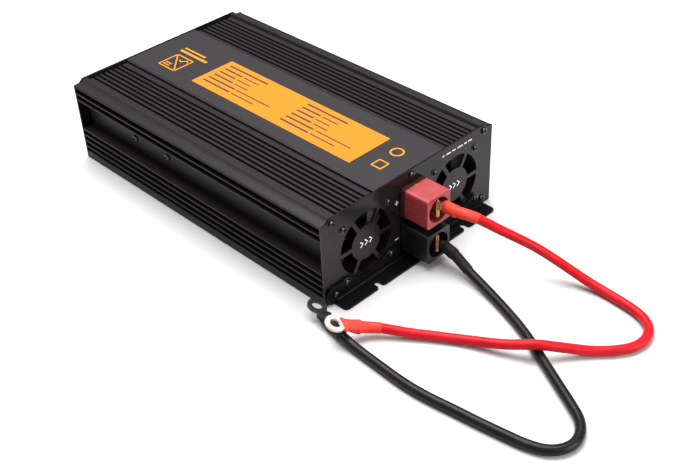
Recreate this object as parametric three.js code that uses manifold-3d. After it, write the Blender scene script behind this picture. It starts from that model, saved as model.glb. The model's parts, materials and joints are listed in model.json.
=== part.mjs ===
// Power inverter for a battery system: a finned two-part aluminium case between two end plates,
// two cooling fans, a pair of hooded battery terminals and two short battery leads.
// Millimetres, +Z up. The fans and the battery terminals face -Y, the mains sockets face +Y.
import * as THREE from 'three';
import { mergeVertices } from 'three/addons/utils/BufferGeometryUtils.js';
import Module from 'manifold-3d';

const wasm = await Module();
wasm.setup();

// ---------------------------------------------------------------- driving dimensions
const GAP = 0.3; // between pieces that touch
const HALF_WIDTH = 100;
const CASE_LENGTH = 326; // over both end plates
const PLATE_THICK = 1.6;
const PLATE_TOP = 80.4;
const SHEET_THICK = 1.6; // feet

const PLATEAU_TOP = 80; // raised middle of the lid
const PLATEAU_HALF = 41.4;
const DECK_TOP = 76.9; // grooved strips beside it
const GROOVE_COUNT = 7;
const GROOVE_FIRST = 48.3;
const GROOVE_PITCH = 5.12;
const GROOVE_WIDTH = 2.5;
const GROOVE_FLOOR = 71.5;
const LID_UNDERSIDE = 69;
const SIDE_WALL = 89.3; // outer face of the wall that carries the side fins
const INNER_WALL = 86.6;
const SEAM_Z = 33.9;
const FLOOR_THICK = 3;
const FIN_THICK = 1.6;
const LID_FINS = [68.6, 62.3];
const BASE_FINS = [31.1, 24.9, 18.6, 12.3];

const FAN_X = 52.7;
const FAN_Z = 38.5;
const FAN_SIZE = 60;
const FAN_DEPTH = 25;
const FAN_BORE = 28.3;
const HUB_RADIUS = 16; // disc in the middle of each grille
const SPOKE_COUNT = 6;
const SPOKE_WIDTH = 3.6;
const BLADE_COUNT = 7;

const FOOT_REACH = 15.5; // how far a foot stands out from its end plate
const FOOT_LEG = 16.5;
const FOOT_SLOT_X = 52.4;
const FOOT_SLOT_WIDTH = 5;

const TERMINAL_Z = { positive: 55.1, negative: 20.6 };
const HOOD_SIZE = 27;
const HOOD_REACH = 29;
const HOOD_BORE = 11.3;
const COLLAR_DEPTH = 4.5;
const BAR_HEIGHT = 18;
const BAR_THICK = 3;
const BAR_X = 1.2; // middle plane of the terminal bars
const BOLT_Y = -15;
const LUG_X = 4.2; // middle plane of the lug palms inside the hoods

const CABLE_RADIUS = 4;
const SLEEVE_RADIUS = 5.3;
const SLEEVE_BORE = 4.55;
const SLEEVE_LENGTH = { near: 30, far: 22 };
const SLEEVE_OVER_LUG = { near: 8, far: 9 }; // how far each one reaches over the barrel
const LUG_RING = 8;
const LUG_HOLE = 4.2;
const LUG_THICK = 2.2;
const BARREL_START = 12; // from the middle of the ring
const BARREL_END = 24;

const SOCKET_X = [60, 8];
const SOCKET_Z = 41;
const SOCKET_RADIUS = 21.7;
const SOCKET_RECESS = 19.8;
const SWITCH = { x: -38, z: 50, tilt: 7 };
const LED_X = { power_led: -42, fault_led: -34 };
const LED_Z = 29;
const GROUND = { x: -72, z: 22 };

// The origin is the middle of the base of the case with its feet and hoods.
const FRONT_Y = -(CASE_LENGTH + FOOT_REACH - HOOD_REACH) / 2;

const inverter = new THREE.Group();
const body = new THREE.Group(); // y = 0 is the outer face of the front plate
body.position.y = FRONT_Y;
inverter.add(body);

// ---------------------------------------------------------------- geometry helpers
function closed(geometry) {
  // Shared vertices are merged and the faces are turned outwards.
  const bare = geometry.index ? geometry.toNonIndexed() : geometry.clone();
  for (const name of Object.keys(bare.attributes)) if (name !== 'position') bare.deleteAttribute(name);
  const merged = mergeVertices(bare, 1e-4);
  const position = merged.attributes.position;
  const kept = [];
  const corners = [0, 1, 2].map(() => new THREE.Vector3());
  let volume = 0;
  for (let i = 0; i < merged.index.count; i += 3) {
    const ids = [0, 1, 2].map((k) => merged.index.getX(i + k));
    if (new Set(ids).size < 3) continue;
    ids.forEach((id, k) => corners[k].fromBufferAttribute(position, id));
    volume += corners[0].dot(corners[1].clone().cross(corners[2]));
    kept.push(ids);
  }
  merged.setIndex(kept.flatMap((ids) => (volume < 0 ? [ids[0], ids[2], ids[1]] : ids)));
  return merged;
}

function solid(geometry) {
  const shape = closed(geometry);
  return new wasm.Manifold(new wasm.Mesh({
    numProp: 3,
    vertProperties: new Float32Array(shape.attributes.position.array),
    triVerts: new Uint32Array(shape.index.array),
  }));
}

function geometryOf(manifold) {
  const mesh = manifold.getMesh();
  const geometry = new THREE.BufferGeometry();
  geometry.setAttribute('position', new THREE.BufferAttribute(new Float32Array(mesh.vertProperties), 3));
  geometry.setIndex(Array.from(mesh.triVerts));
  return geometry;
}

function joined(first, ...others) {
  return geometryOf(others.reduce((sum, other) => sum.add(solid(other)), solid(first)));
}

function cut(first, ...tools) {
  return geometryOf(tools.reduce((rest, tool) => rest.subtract(solid(tool)), solid(first)));
}

function shapeOf(points) {
  return new THREE.Shape(points.map(([a, b]) => new THREE.Vector2(a, b)));
}

function extruded(shape, depth, curveSegments = 6) {
  return new THREE.ExtrudeGeometry(shape, { depth, bevelEnabled: false, curveSegments });
}

// The outline is drawn in X and Z, and the solid runs along Y from y0 to y1.
function alongY(shape, y0, y1, curveSegments) {
  return extruded(shape, y1 - y0, curveSegments).rotateX(Math.PI / 2).translate(0, y1, 0);
}

// The outline is drawn in Y and Z, and the solid runs along X from x0 to x1.
function alongX(shape, x0, x1, curveSegments) {
  const turn = new THREE.Matrix4().makeBasis(
    new THREE.Vector3(0, 1, 0),
    new THREE.Vector3(0, 0, 1),
    new THREE.Vector3(1, 0, 0),
  );
  return extruded(shape, x1 - x0, curveSegments).applyMatrix4(turn).translate(x0, 0, 0);
}

function alongZ(shape, z0, z1, curveSegments) {
  return extruded(shape, z1 - z0, curveSegments).translate(0, 0, z0);
}

function box(x0, x1, y0, y1, z0, z1) {
  const geometry = new THREE.BoxGeometry(x1 - x0, y1 - y0, z1 - z0);
  return geometry.translate((x0 + x1) / 2, (y0 + y1) / 2, (z0 + z1) / 2);
}

function rodAlongY(radius, y0, y1, x, z, sides = 24) {
  return new THREE.CylinderGeometry(radius, radius, y1 - y0, sides).translate(x, (y0 + y1) / 2, z);
}

function rodAlongX(radius, x0, x1, y, z, sides = 12) {
  const rod = new THREE.CylinderGeometry(radius, radius, x1 - x0, sides).rotateZ(Math.PI / 2);
  return rod.translate((x0 + x1) / 2, y, z);
}

function rodAlongZ(radius, z0, z1, x, y, sides = 16) {
  const rod = new THREE.CylinderGeometry(radius, radius, z1 - z0, sides).rotateX(Math.PI / 2);
  return rod.translate(x, y, (z0 + z1) / 2);
}

function roundedRectangle(halfWidth, halfHeight, radius, centreX = 0, centreZ = 0) {
  const shape = new THREE.Shape();
  const corners = [[1, -1], [1, 1], [-1, 1], [-1, -1]];
  corners.forEach(([sx, sz], i) => {
    const start = -Math.PI / 2 + (i * Math.PI) / 2;
    const x = centreX + sx * (halfWidth - radius);
    const z = centreZ + sz * (halfHeight - radius);
    shape.absarc(x, z, radius, start, start + Math.PI / 2, false);
  });
  return shape;
}

function mirrored(half) {
  return shapeOf([...half, ...half.map(([x, z]) => [-x, z]).reverse()]);
}

function add(name, geometry, [color, roughness, metalness], parent = body) {
  const material = new THREE.MeshStandardMaterial({ color, roughness, metalness });
  const mesh = new THREE.Mesh(closed(geometry), material);
  mesh.name = name;
  parent.add(mesh);
  return mesh;
}

// ---------------------------------------------------------------- finishes
const ANODISED = [0x2a292b, 0.42, 0.55];
const PAINTED = [0x343335, 0.5, 0.35];
const SHEET_BLACK = [0x101010, 0.55, 0.3];
const BLACK_PLASTIC = [0x1c1c1e, 0.45, 0];
const RED_PLASTIC = [0xb8454a, 0.5, 0];
const DARK_RED = [0x3d1a17, 0.45, 0];
const BRASS = [0xb98d4e, 0.3, 0.9];
const STEEL = [0x8f9195, 0.35, 0.9];
const TINNED = [0xe4ddd2, 0.35, 0.8];
const BLACK_SCREW = [0x19191a, 0.35, 0.6];
const RED_CABLE = [0xd5202c, 0.4, 0];
const RED_SLEEVE = [0xf04a38, 0.5, 0];
const BLACK_CABLE = [0x2c2a2c, 0.42, 0];
const BOARD = [0x1e5a35, 0.6, 0];
const ALUMINIUM = [0xb4b6b8, 0.4, 0.85];
const FERRITE = [0x2f2f33, 0.7, 0.2];
const WINDING = [0xc7a23a, 0.55, 0];
const CAPACITOR = [0x20242e, 0.4, 0.1];

// ---------------------------------------------------------------- case
function finPoints(levels) {
  // The comb of one side wall, from its top fin down.
  return levels.flatMap((z) => [
    [SIDE_WALL, z + FIN_THICK / 2],
    [HALF_WIDTH, z + FIN_THICK / 2],
    [HALF_WIDTH, z - FIN_THICK / 2],
    [SIDE_WALL, z - FIN_THICK / 2],
  ]);
}

function lidHalf() {
  const grooves = [];
  for (let i = 0; i < GROOVE_COUNT; i += 1) {
    const left = GROOVE_FIRST + i * GROOVE_PITCH - GROOVE_WIDTH / 2;
    const right = left + GROOVE_WIDTH;
    grooves.push([left, DECK_TOP], [left, GROOVE_FLOOR], [right, GROOVE_FLOOR], [right, DECK_TOP]);
  }
  return [
    [PLATEAU_HALF - 1.9, PLATEAU_TOP], [PLATEAU_HALF, PLATEAU_TOP - 0.8], [PLATEAU_HALF, DECK_TOP],
    ...grooves,
    [84.9, DECK_TOP], [86.3, 80.2], [89.8, 80.2], [94, DECK_TOP],
    [HALF_WIDTH - 0.8, 76.4], [HALF_WIDTH, 75.6], [HALF_WIDTH, 74.6], [SIDE_WALL, 74.6],
    ...finPoints(LID_FINS),
    [SIDE_WALL, SEAM_Z + GAP], [INNER_WALL, SEAM_Z + GAP],
    [INNER_WALL, LID_UNDERSIDE - 3], [INNER_WALL - 3, LID_UNDERSIDE],
  ];
}

function baseHalf() {
  return [
    [INNER_WALL, FLOOR_THICK], [INNER_WALL, SEAM_Z], [SIDE_WALL, SEAM_Z],
    ...finPoints(BASE_FINS),
    [SIDE_WALL, 7.7], [HALF_WIDTH, 7.7], [HALF_WIDTH, 0.8], [HALF_WIDTH - 0.8, 0],
  ];
}

const SIDE_SCREW_Y = [206.6, 253];
const SIDE_SCREW_Z = 45.5;
const SIDE_SCREW_HOLE = 2.1;
const RAIL_THICK = 6;
const CASE_START = PLATE_THICK + GAP;
const CASE_END = CASE_LENGTH - PLATE_THICK - GAP;

function sideScrewHoles() {
  return SIDE_SCREW_Y.flatMap((y) => [-1, 1].map((side) => {
    const ends = [side * 70, side * 98].sort((a, b) => a - b);
    return rodAlongX(SIDE_SCREW_HOLE, ends[0], ends[1], y, SIDE_SCREW_Z, 10);
  }));
}

add('case_top', cut(alongY(mirrored(lidHalf()), CASE_START, CASE_END), ...sideScrewHoles()), ANODISED);
add('case_base', alongY(mirrored(baseHalf()), CASE_START, CASE_END), ANODISED);

for (const [name, side] of [['left', -1], ['right', 1]]) {
  const faces = [side * (INNER_WALL - GAP), side * (INNER_WALL - GAP - RAIL_THICK)].sort((a, b) => a - b);
  const rail = box(faces[0], faces[1], 140, 292, 36, 56);
  add(`${name}_heat_rail`, cut(rail, ...sideScrewHoles()), ALUMINIUM);
  for (const [place, y] of [['front', SIDE_SCREW_Y[0]], ['rear', SIDE_SCREW_Y[1]]]) {
    const profile = [[0, 0], [1.75, 0], [1.75, 9], [3.6, 9], [3.4, 10.2], [2.2, 11], [0, 11.2]];
    const screw = new THREE.LatheGeometry(profile.map(([r, h]) => new THREE.Vector2(r, h)), 8);
    const mesh = add(`${name}_side_screw_${place}`, screw, BLACK_SCREW);
    mesh.rotation.z = -side * (Math.PI / 2);
    mesh.position.set(side * (SIDE_WALL + GAP - 9), y, SIDE_SCREW_Z);
  }
}

// ---------------------------------------------------------------- end plates
const PLATE_SCREWS = [[-88.9, 75.2], [0, 75.2], [88.9, 75.2], [-90, 8.6], [88.9, 6.8]];
const PLATE_SCREW_NAMES = ['top_left', 'top_middle', 'top_right', 'bottom_left', 'bottom_right'];

function plateOutline() {
  return mirrored([[90, PLATE_TOP], [94, 76.9], [HALF_WIDTH, 76.4], [HALF_WIDTH, 0]]);
}

function roundHole(x, z, radius) {
  return new THREE.Path().absarc(x, z, radius, 0, 2 * Math.PI, false);
}

function rectangularHole(x, z, halfWidth, halfHeight) {
  const hole = new THREE.Path();
  hole.moveTo(x - halfWidth, z - halfHeight);
  hole.lineTo(x + halfWidth, z - halfHeight);
  hole.lineTo(x + halfWidth, z + halfHeight);
  hole.lineTo(x - halfWidth, z + halfHeight);
  hole.closePath();
  return hole;
}

function grilleWindows(centreX) {
  // Six openings between the spokes, each bounded by two arcs.
  const windows = [];
  const step = (2 * Math.PI) / SPOKE_COUNT;
  for (let i = 0; i < SPOKE_COUNT; i += 1) {
    const spread = (radius) => Math.asin(SPOKE_WIDTH / 2 / radius);
    const from = i * step;
    const hole = new THREE.Path();
    const [outer, inner] = [spread(FAN_BORE), spread(HUB_RADIUS)];
    hole.absarc(centreX, FAN_Z, FAN_BORE, from + outer, from + step - outer, false);
    hole.absarc(centreX, FAN_Z, HUB_RADIUS, from + step - inner, from + inner, true);
    windows.push(hole);
  }
  return windows;
}

const frontOutline = plateOutline();
frontOutline.holes.push(
  ...grilleWindows(-FAN_X),
  ...grilleWindows(FAN_X),
  ...PLATE_SCREWS.map(([x, z]) => roundHole(x, z, 1.9)),
  ...Object.values(TERMINAL_Z).map((z) => (
    rectangularHole(BAR_X, z, BAR_THICK / 2 + 1.4, BAR_HEIGHT / 2 + 1.8)
  )),
);
add('front_plate', alongY(frontOutline, 0, PLATE_THICK, 3), PAINTED);

const rearOutline = plateOutline();
rearOutline.holes.push(
  rectangularHole(SWITCH.x, SWITCH.z, 8.2, 11.4),
  ...Object.values(LED_X).map((x) => roundHole(x, LED_Z, 3.2)),
  roundHole(GROUND.x, GROUND.z, 3.2),
);
const REAR_FACE = CASE_LENGTH;
const vents = [0, 1, 2, 3, 4, 5, 6].map((i) => (
  box(-88.2 + i * 5, -85.8 + i * 5, REAR_FACE - 3, REAR_FACE + 1, 39, 65)
));
const socketHoles = SOCKET_X.map((x) => (
  rodAlongY(SOCKET_RADIUS + 0.4, REAR_FACE - 3, REAR_FACE + 1, x, SOCKET_Z, 24)
));
const rearSheet = alongY(rearOutline, REAR_FACE - PLATE_THICK, REAR_FACE, 3);
add('rear_plate', cut(rearSheet, ...vents, ...socketHoles), PAINTED);

PLATE_SCREWS.forEach(([x, z], i) => {
  // Pan head in front of the plate, or of the foot's leg, with a short shank through it.
  const seat = i === 3 ? SHEET_THICK + 2 * GAP : GAP;
  const profile = [[0, -0.2], [1.5, -0.2], [1.5, seat + 1.5], [3.1, seat + 1.5], [3.2, seat + 2.4],
    [2.3, seat + 3.3], [0, seat + 3.6]];
  const screw = new THREE.LatheGeometry(profile.map(([r, h]) => new THREE.Vector2(r, h)), 8);
  const mesh = add(`plate_screw_${PLATE_SCREW_NAMES[i]}`, screw, BLACK_SCREW);
  mesh.rotation.z = Math.PI;
  mesh.position.set(x, PLATE_THICK - 0.1, z);
});

// ---------------------------------------------------------------- feet
function footFlange(left, right) {
  // A strip with rounded outer corners and two open slots for fixing screws.
  const shape = new THREE.Shape();
  const slotHalf = FOOT_SLOT_WIDTH / 2;
  shape.moveTo(left, -GAP);
  shape.lineTo(left, -FOOT_REACH + 4);
  shape.absarc(left + 4, -FOOT_REACH + 4, 4, Math.PI, 1.5 * Math.PI, false);
  for (const x of [-FOOT_SLOT_X, FOOT_SLOT_X]) {
    shape.lineTo(x - slotHalf - 2.5, -FOOT_REACH);
    shape.lineTo(x - slotHalf, -FOOT_REACH + 2.5);
    shape.absarc(x, -8 - slotHalf, slotHalf, Math.PI, 0, true);
    shape.lineTo(x + slotHalf, -FOOT_REACH + 2.5);
    shape.lineTo(x + slotHalf + 2.5, -FOOT_REACH);
  }
  shape.absarc(right - 4, -FOOT_REACH + 4, 4, 1.5 * Math.PI, 2 * Math.PI, false);
  shape.lineTo(right, -GAP);
  return alongZ(shape, 0, SHEET_THICK, 2);
}

function frontLeg() {
  // Upright leg: hollowed round both fan openings and round the lower terminal.
  const shape = new THREE.Shape();
  const clearance = FAN_BORE + 1.6;
  const reach = Math.sqrt(clearance ** 2 - (FAN_Z - FOOT_LEG) ** 2);
  const angle = Math.atan2(FOOT_LEG - FAN_Z, reach);
  shape.moveTo(-92, 0);
  shape.lineTo(90, 0);
  shape.lineTo(90, 2.4);
  shape.lineTo(82.7, 6.8);
  shape.lineTo(FAN_X + reach, FOOT_LEG);
  shape.absarc(FAN_X, FAN_Z, clearance, angle, -Math.PI - angle, true);
  shape.lineTo(18.5, FOOT_LEG);
  shape.lineTo(15.6, 12);
  shape.lineTo(15.6, 5.4);
  shape.lineTo(-15.6, 5.4);
  shape.lineTo(-15.6, 12);
  shape.lineTo(-18.5, FOOT_LEG);
  shape.absarc(-FAN_X, FAN_Z, clearance, angle, -Math.PI - angle, true);
  shape.lineTo(-93, FOOT_LEG);
  shape.absarc(-93, FOOT_LEG - 6, 6, Math.PI / 2, Math.PI, false);
  shape.lineTo(-99, 7);
  shape.absarc(-92, 7, 7, Math.PI, 1.5 * Math.PI, false);
  return alongY(shape, -GAP - SHEET_THICK, -GAP, 3);
}

const frontScrewHole = rodAlongY(1.9, -4, 1, PLATE_SCREWS[3][0], PLATE_SCREWS[3][1], 10);
add('front_foot', cut(joined(frontLeg(), footFlange(-92, 90)), frontScrewHole), SHEET_BLACK);

const rearLeg = alongY(roundedRectangle(92, 6, 3, 0, 6), -GAP - SHEET_THICK, -GAP, 2);
const rearLegFoot = box(-92, 92, -GAP - SHEET_THICK, -GAP, 0, 4);
const rearFoot = add('rear_foot', joined(rearLeg, rearLegFoot, footFlange(-92, 92)), SHEET_BLACK);
rearFoot.rotation.z = Math.PI;
rearFoot.position.y = REAR_FACE;

// ---------------------------------------------------------------- fans
function fanFrame() {
  // Two square flanges joined by a round shroud, with a motor seat on four struts at the back.
  const half = FAN_SIZE / 2;
  const bore = rodAlongY(FAN_BORE, -1, FAN_DEPTH + 1, 0, 0, 28);
  const flange = (y) => alongY(roundedRectangle(half, half, 4), y, y + 3.5, 1);
  const shroud = rodAlongY(half - 0.2, 3, FAN_DEPTH - 3, 0, 0, 28);
  const ring = cut(joined(shroud, flange(0), flange(FAN_DEPTH - 3.5)), bore);
  const struts = [0, 1, 2, 3].map((i) => {
    const strut = box(8, FAN_BORE + 0.7, FAN_DEPTH - 3, FAN_DEPTH - 0.2, -1.5, 1.5);
    return strut.rotateY(Math.PI / 4 + (i * Math.PI) / 2);
  });
  const seat = rodAlongY(12.6, FAN_DEPTH - 3.4, FAN_DEPTH, 0, 0, 16);
  const bearing = rodAlongY(4, FAN_DEPTH - 8, FAN_DEPTH - 3, 0, 0, 10);
  const shaftHole = rodAlongY(1.9, FAN_DEPTH - 9, FAN_DEPTH + 1, 0, 0, 10);
  return cut(joined(ring, seat, bearing, ...struts), shaftHole);
}

function fanRotor() {
  const profile = [[0, 3.2], [10.8, 3.2], [12.4, 4.4], [12.4, 20.4], [11.2, 20.4], [11.2, 5.4], [1.5, 5.4],
    [1.5, 23.5], [0, 23.5]];
  const hub = new THREE.LatheGeometry(profile.map(([r, y]) => new THREE.Vector2(r, y)), 14);
  const blades = [];
  for (let i = 0; i < BLADE_COUNT; i += 1) {
    const blade = new THREE.BoxGeometry(18, 13, 1.4).translate(20.4, 0, 0).rotateX(0.75);
    blades.push(blade.translate(0, 11.5, 0).rotateY((i * 2 * Math.PI) / BLADE_COUNT));
  }
  const sweep = solid(rodAlongY(FAN_BORE - 0.9, 0, FAN_DEPTH, 0, 0, 28));
  return geometryOf(solid(joined(hub, ...blades)).intersect(sweep));
}

for (const [name, side] of [['left', -1], ['right', 1]]) {
  const fan = new THREE.Group();
  fan.position.set(side * FAN_X, CASE_START, FAN_Z);
  body.add(fan);
  add(`${name}_fan_frame`, fanFrame(), BLACK_PLASTIC, fan);
  const rotor = add(`${name}_fan_rotor`, fanRotor(), BLACK_PLASTIC, fan);
  rotor.rotation.y = side * 0.3;
  const lead = new THREE.CatmullRomCurve3([
    new THREE.Vector3(side * 24, 29, 20), new THREE.Vector3(side * 23, 36, 17),
    new THREE.Vector3(side * 22, 43, 19), new THREE.Vector3(side * 22, 50, 17),
    new THREE.Vector3(side * 22, 52, 12.4),
  ]);
  const wire = new THREE.Shape().absarc(0, 0, 1.1, 0, 2 * Math.PI, false);
  const wireGeometry = new THREE.ExtrudeGeometry(wire, { steps: 12, extrudePath: lead, curveSegments: 4 });
  add(`${name}_fan_lead`, wireGeometry, RED_CABLE);
}

// ---------------------------------------------------------------- battery terminals
function barSlot(z, y0, y1) {
  const halfThick = BAR_THICK / 2 + 0.9;
  const halfHeight = BAR_HEIGHT / 2 + 1.2;
  return box(BAR_X - halfThick, BAR_X + halfThick, y0, y1, z - halfHeight, z + halfHeight);
}

function hood(z) {
  const half = HOOD_SIZE / 2;
  const shell = alongY(roundedRectangle(half, half, 2.6, 0, z), -HOOD_REACH, -COLLAR_DEPTH - GAP, 2);
  const mouth = rodAlongY(HOOD_BORE, -HOOD_REACH - 1, -COLLAR_DEPTH - 2.3, 0, z, 24);
  return cut(shell, mouth, barSlot(z, -HOOD_REACH + 5, 0));
}

function collar(z) {
  const half = HOOD_SIZE / 2 + 0.5;
  const block = alongY(roundedRectangle(half, half, 3, 0, z), -COLLAR_DEPTH, -GAP, 2);
  return cut(block, barSlot(z, -COLLAR_DEPTH - 1, 1));
}

function terminalBar(z) {
  // The left half of the bar reaches further out, past the end of the lug's palm.
  const heights = [z - BAR_HEIGHT / 2, z + BAR_HEIGHT / 2];
  const left = BAR_X - BAR_THICK / 2;
  const root = box(left, left + BAR_THICK, -25, 42, ...heights);
  const bar = joined(root, box(left, left + 1.6, -28.4, -20, ...heights));
  return cut(bar, rodAlongX(LUG_HOLE, -5, 5, BOLT_Y, z, 12));
}

function terminalBolt(z) {
  // Hexagon head, shank and nut along X.
  const palmFace = LUG_X + LUG_THICK / 2;
  const barFace = BAR_X - BAR_THICK / 2;
  const head = rodAlongX(5.8, barFace - GAP - 4, barFace - GAP, BOLT_Y, z, 6);
  const shank = rodAlongX(3.7, -4, palmFace + 2, BOLT_Y, z, 12);
  const nut = rodAlongX(5.8, palmFace + GAP, palmFace + 4.2, BOLT_Y, z, 6);
  return joined(head, shank, nut);
}

const TERMINAL_FINISH = {
  positive: [RED_PLASTIC, DARK_RED],
  negative: [BLACK_PLASTIC, BLACK_PLASTIC],
};
for (const [name, z] of Object.entries(TERMINAL_Z)) {
  const [hoodFinish, collarFinish] = TERMINAL_FINISH[name];
  add(`${name}_hood`, hood(z), hoodFinish);
  add(`${name}_collar`, collar(z), collarFinish);
  add(`${name}_bar`, terminalBar(z), BRASS);
  add(`${name}_bolt`, terminalBolt(z), STEEL);
}

// ---------------------------------------------------------------- battery leads
// Each route runs between the lugs' barrels, which add a short straight stretch at either end.
const RED_ROUTE = [
  [6, -43.6, 56.7], [8, -51, 56.5], [11.5, -58.8, 54.8], [15.6, -66.5, 51.3], [20.4, -74.9, 46.9],
  [29.2, -86.2, 39.3], [39.2, -97, 30], [47.5, -109.2, 20.3], [53.2, -123.4, 12.2],
  [56.5, -138.5, 6.6], [57.6, -152.5, 4.3], [56.6, -167, 4.05], [55, -179, 4.05], [51.3, -190.5, 4.05],
  [43.8, -199.8, 4.05], [32.5, -204, 4.05], [20.5, -202.6, 4.05], [8.5, -195.4, 4.05],
  [-3.5, -184, 4.3], [-18.6, -169.4, 8.4], [-33.5, -155.3, 12.8], [-46, -135, 9], [-58, -108, 4.6],
  [-72, -85, 4.3], [-81.4, -71.9, 5.2], [-89.2, -61.2, 6.9], [-95.2, -53.6, 8.2],
];
const RED_FAR_END = [-103.2, -46.1, 9.6];
const BLACK_ROUTE = [
  [5.3, -44.5, 12.5], [2.5, -58.5, 8.4], [-1.2, -75, 6], [-6.2, -93.5, 4.4], [-12.8, -112.5, 4.05],
  [-20.2, -130.8, 4.05], [-30, -150.6, 4.05], [-40.6, -170, 4.05], [-50.6, -188.6, 4.05],
  [-59, -204.2, 4.05], [-66.4, -216, 4.05], [-75.5, -223.6, 4.05], [-86, -226.6, 4.05],
  [-96, -224, 4.05], [-104, -216.6, 4.05], [-109, -204.6, 4.05], [-112.4, -187, 4.05],
  [-115.6, -167, 4.05], [-118.4, -146, 4.05], [-121, -128, 4.05], [-122.4, -110, 4.05],
  [-122.2, -94, 4.05], [-121.4, -80, 4.05], [-120.8, -68, 4.1], [-120.2, -54, 4.7], [-119.6, -46, 5.35],
  [-118.3, -37, 5.45],
];
const BLACK_FAR_END = [-115.8, -25, 5.6];

function vectorOf([x, y, z]) {
  return new THREE.Vector3(x, y, z);
}

// One stretch of a route, between two distances along it.
class Stretch extends THREE.Curve {
  constructor(whole, from, to) {
    super();
    this.whole = whole;
    this.from = from / whole.getLength();
    this.to = to / whole.getLength();
  }

  getPoint(t, target) {
    return this.whole.getPointAt(this.from + t * (this.to - this.from), target);
  }
}

function tube(path, radius, steps, bore = 0) {
  const section = new THREE.Shape().absarc(0, 0, radius, 0, 2 * Math.PI, false);
  if (bore) section.holes.push(new THREE.Path().absarc(0, 0, bore, 0, 2 * Math.PI, false));
  return new THREE.ExtrudeGeometry(section, { steps, extrudePath: path, curveSegments: 5 });
}

// A ring lug about the middle of its ring: the tip points along +Y, the palm lies in XY, the barrel
// runs back along -Y below the palm's plane, and lift tilts the ring up out of the barrel's line.
const BARREL_DROP = 1.5;
const BARREL_RADIUS = 3.9;

function lug(lift) {
  const palm = new THREE.Shape();
  palm.absarc(0, 0, LUG_RING, -Math.PI / 3, Math.PI + Math.PI / 3, false);
  palm.lineTo(-3.2, -BARREL_START + 1);
  palm.lineTo(-3.2, -BARREL_START - 1);
  palm.lineTo(3.2, -BARREL_START - 1);
  palm.lineTo(3.2, -BARREL_START + 1);
  palm.holes.push(new THREE.Path().absarc(0, 0, LUG_HOLE, 0, 2 * Math.PI, false));
  const plate = alongZ(palm, -LUG_THICK / 2, LUG_THICK / 2, 5);
  const hinge = new THREE.Matrix4().makeTranslation(0, BARREL_START, 0);
  plate.applyMatrix4(hinge).rotateX(lift).applyMatrix4(hinge.invert());
  const barrel = rodAlongY(BARREL_RADIUS, -BARREL_END, -BARREL_START, 0, -BARREL_DROP, 10);
  return joined(plate, barrel);
}

function smooth(points) {
  return new THREE.CatmullRomCurve3(points, false, 'centripetal');
}

function lead(colour, near, route, far, cableFinish, sleeveFinish, steps) {
  // near and far hold the end of a barrel and the direction from there towards its ring.
  const beside = ({ end, along }, distance) => vectorOf(end).addScaledVector(vectorOf(along), distance);
  const straight = 2;
  const middle = [beside(near, -straight), ...route.map(vectorOf), beside(far, -straight)];
  const cable = smooth([beside(near, 0), ...middle, beside(far, 0)]);
  const path = new Stretch(cable, GAP, cable.getLength() - GAP);
  add(`${colour}_cable`, tube(path, CABLE_RADIUS, steps), cableFinish);
  // The sleeves carry on over the barrels, along the lugs' own lines.
  const wholeRoute = smooth([
    beside(near, SLEEVE_OVER_LUG.near), beside(near, 0), ...middle,
    beside(far, 0), beside(far, SLEEVE_OVER_LUG.far),
  ]);
  const total = wholeRoute.getLength();
  const ends = { near: [0, SLEEVE_LENGTH.near, 8], far: [total - SLEEVE_LENGTH.far, total, 6] };
  for (const [place, [from, to, sleeveSteps]] of Object.entries(ends)) {
    const sleeve = tube(new Stretch(wholeRoute, from, to), SLEEVE_RADIUS, sleeveSteps, SLEEVE_BORE);
    add(`${colour}_${place}_sleeve`, sleeve, sleeveFinish);
  }
}

function placeLug(name, lift, ringCentre, along, up, finish) {
  // along points from the barrel to the tip, up is the palm's normal.
  const tip = vectorOf(along).normalize();
  const normal = vectorOf(up).addScaledVector(tip, -vectorOf(up).dot(tip)).normalize();
  const across = tip.clone().cross(normal);
  const mesh = add(name, lug(lift), finish);
  mesh.quaternion.setFromRotationMatrix(new THREE.Matrix4().makeBasis(across, tip, normal));
  mesh.position.copy(vectorOf(ringCentre));
}

function ringCentreOf(barrelEnd, along, up) {
  // The ring's middle, from the middle of the barrel's open end.
  const tip = vectorOf(along).normalize();
  const normal = vectorOf(up).addScaledVector(tip, -vectorOf(up).dot(tip)).normalize();
  const centre = vectorOf(barrelEnd).addScaledVector(tip, BARREL_END).addScaledVector(normal, BARREL_DROP);
  return [centre.x, centre.y, centre.z];
}

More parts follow.
